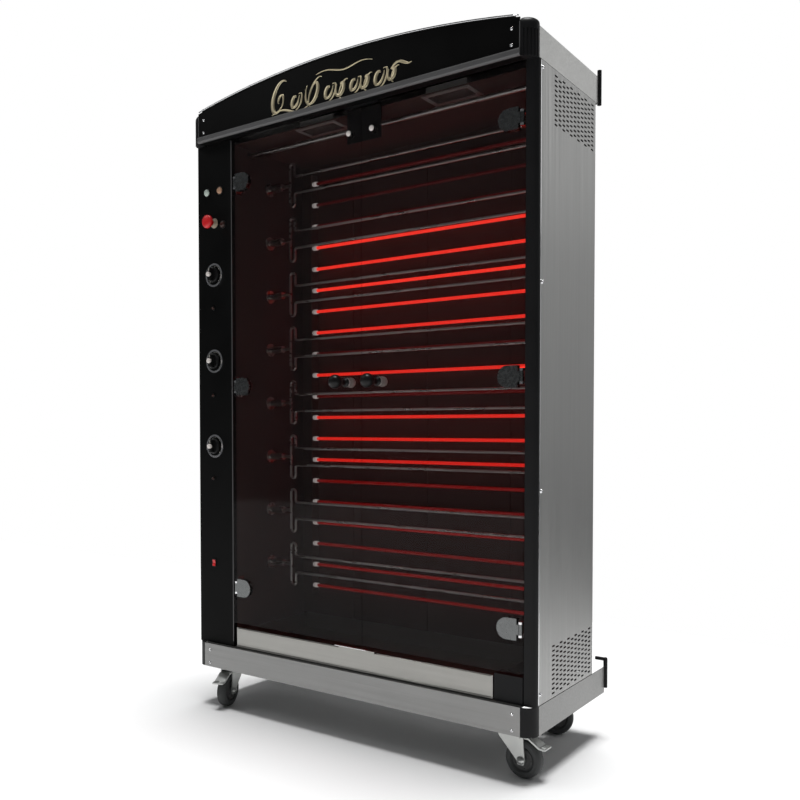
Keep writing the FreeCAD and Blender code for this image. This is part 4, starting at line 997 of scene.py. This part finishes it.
def back_details():
    """Louvres, a blank plate and gland ridges on the back."""
    back = BACK_HIGH.y

    def louvres(shape):
        for group in LOUVRE_GROUPS:
            for index in range(LOUVRE_COUNT):
                for x in LOUVRE_COLUMNS:
                    louvre(shape, x, back, group + index * LOUVRE_PITCH)
    piece("back_louvres", louvres, STEEL_UP, "cabinet")

    def plate(shape):
        x0, x1, z0, z1, inset = 0.34, 0.46, 0.38, 0.45, 0.006
        block(shape, (x0, back - 0.0002, z0), (x1, back + 0.0010, z1), 0.0004)
        for x in (x0 + inset, x1 - inset):
            for z in (z0 + inset, z1 - inset):
                screw(shape, Vector((x, back + 0.0008, z)), BACKWARD, *PLATE_SCREW)
    piece("blank_plate", plate, ZINC, "cabinet", smooth=False)
    low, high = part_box("cable_gland")
    cx, cz = face_centre(low, high)

    def ridges(shape):
        for x, z in circle(16, (high.x - low.x) / 2 - 0.0002):
            lathe(shape, [(0, 0), (0.0008, 0.0003), (0.0008, 0.0058), (0, 0.006)],
                  Vector((cx + x, back + 0.002, cz + z)), BACKWARD, 8)
    piece("gland_ridges", ridges, BLACK_PLASTIC, "cabinet")


def roof_details():
    """Three pressed ribs across the roof."""
    def ribs(shape):
        for x in (-0.30, 0.0, 0.30):
            block(shape, (x - 0.010, CROWN_LOW.y + 0.030, ROOF_TOP - 0.0004),
                  (x + 0.010, CROWN_HIGH.y - 0.06, ROOF_TOP + 0.0030), 0.0012)
    piece("roof_ribs", ribs, STEEL_ALONG, "cabinet", smooth=False)


def drawer_details():
    """Rolled beads along the drawer's front, and a bright pull on its top edge."""
    handle = middle((DRAWER_LOW, DRAWER_HIGH)).x

    def beads(shape):
        x0, x1 = DRAWER_LOW.x + 0.004, DRAWER_HIGH.x - 0.004
        for z, y, radius in ((DRAWER_HIGH.z - 0.0062, FRONT - 0.0012, 0.0012),
                             (DRAWER_LOW.z + 0.004, FRONT - 0.0010, 0.0009)):
            tube(shape, [(x0, y, z), (x1, y, z)], radius, 8)
    piece("drawer_beads", beads, STEEL_WARM, "drip_drawer")

    def pull(shape):
        block(shape, (handle - 0.056, FRONT - 0.0072, DRAWER_HIGH.z - 0.0010),
              (handle + 0.056, FRONT + 0.003, DRAWER_HIGH.z + 0.0016), 0.0008)
    piece("drawer_pull", pull, CHROME, "drip_drawer", smooth=False)


# ---------------------------------------------------------------- build the object

dress_nodes()
soften(("base_frame", "service_cover", "door_left_fittings", "door_right_fittings"), 0.0008)
soften(("control_column", "corner_profiles", "header_fascia"), 0.0006)
soften(("side_panel_left", "side_panel_right", "crown_panels", "drip_drawer"), 0.0004, 1)
header_ornament()
header_trim()
screws_on_panels()
screws_on_back()
dial_marks([dial(index) for index in range(1, DIAL_COUNT + 1)])
stop_head()
pilot_rims()
rocker_parts()
for side_name in ("left", "right"):
    door_parts(side_name)
lamps()
tube_springs()
cavity_seams()
for end_name in ("front", "rear"):
    for side_name in ("left", "right"):
        caster_parts("%s_%s" % (end_name, side_name))
for side_name in ("left", "right"):
    pedal_ribs("front_" + side_name)
edge_trims()
back_details()
roof_details()
drawer_details()


# ---------------------------------------------------------------- studio

def floor_and_backdrop():
    """A pale floor; behind its far edge the white world is the backdrop."""
    mesh = mesh_from("studio_floor", lambda shape: block(shape, (-6, -6, -0.02), (4, 1.6, 0.0)),
                     False)
    ground = bpy.data.objects.new("studio_floor", mesh)
    bpy.context.scene.collection.objects.link(ground)
    made = paint("pale_floor", (0.93, 0.93, 0.93), 0.0, 0.55, Specular_IOR_Level=0.3)
    ground.data.materials.append(made)


def softbox(name, spot, aim, size, brightness):
    """A rectangular light whose face has the stated brightness."""
    data = bpy.data.lights.new(name, "AREA")
    data.shape = "RECTANGLE"
    data.size, data.size_y = size
    data.energy = brightness * math.pi * size[0] * size[1]
    lamp = bpy.data.objects.new(name, data)
    bpy.context.scene.collection.objects.link(lamp)
    lamp.visible_camera = False
    lamp.location = spot
    lamp.rotation_euler = (Vector(aim) - Vector(spot)).to_track_quat("-Z", "Y").to_euler()


def sunlight(name, direction, strength, spread_degrees):
    """Very soft light from far away, which reaches all of the floor alike."""
    data = bpy.data.lights.new(name, "SUN")
    data.energy = strength
    data.angle = math.radians(spread_degrees)
    lamp = bpy.data.objects.new(name, data)
    bpy.context.scene.collection.objects.link(lamp)
    lamp.rotation_euler = Vector(direction).to_track_quat("Z", "Y").to_euler()


def world_light():
    """White where the camera looks at it, and a dim grey room for everything else."""
    world = bpy.data.worlds.new("studio")
    bpy.context.scene.world = world
    world.use_nodes = True
    tree = world.node_tree
    tree.nodes.clear()
    out = tree.nodes.new("ShaderNodeOutputWorld")
    choose = tree.nodes.new("ShaderNodeMixShader")
    path = tree.nodes.new("ShaderNodeLightPath")
    room = tree.nodes.new("ShaderNodeBackground")
    white = tree.nodes.new("ShaderNodeBackground")
    room.inputs["Color"].default_value = (0.9, 0.92, 0.95, 1)
    room.inputs["Strength"].default_value = 0.10
    white.inputs["Color"].default_value = (1, 1, 1, 1)
    white.inputs["Strength"].default_value = 1.0
    tree.links.new(path.outputs["Is Camera Ray"], choose.inputs["Fac"])
    tree.links.new(room.outputs["Background"], choose.inputs[1])
    tree.links.new(white.outputs["Background"], choose.inputs[2])
    tree.links.new(choose.outputs["Shader"], out.inputs["Surface"])


def camera():
    """The camera as it was fitted to the straight edges of the photographed object."""
    data = bpy.data.cameras.new("studio_camera")
    data.lens = 38.47
    data.sensor_width = 36.0
    data.shift_y = 0.0636
    item = bpy.data.objects.new("studio_camera", data)
    bpy.context.scene.collection.objects.link(item)
    tilt_down, turn_left = 1.58, 34.85
    item.location = (1.515, FRONT - 1.901, 0.893)
    item.rotation_euler = (math.radians(90 - tilt_down), 0, math.radians(turn_left))
    bpy.context.scene.camera = item


floor_and_backdrop()
# Each softbox: its place, the spot it faces, its width and height, and its brightness.
sunlight("overhead", (0.03, 0.03, 1.0), 3.7, 24)
softbox("side_high", (2.75, 3.1, 3.1), (0.6, 0.0, 1.5), (2.6, 1.7), 1.15)
softbox("side_low", (2.75, 3.1, 1.35), (0.6, 0.0, 1.0), (2.6, 1.5), 0.45)
softbox("left_high", (-2.6, -1.9, 3.9), (0.0, -0.2, 1.0), (1.5, 1.5), 1.8)
world_light()
camera()
bpy.context.scene.view_settings.view_transform = "Standard"
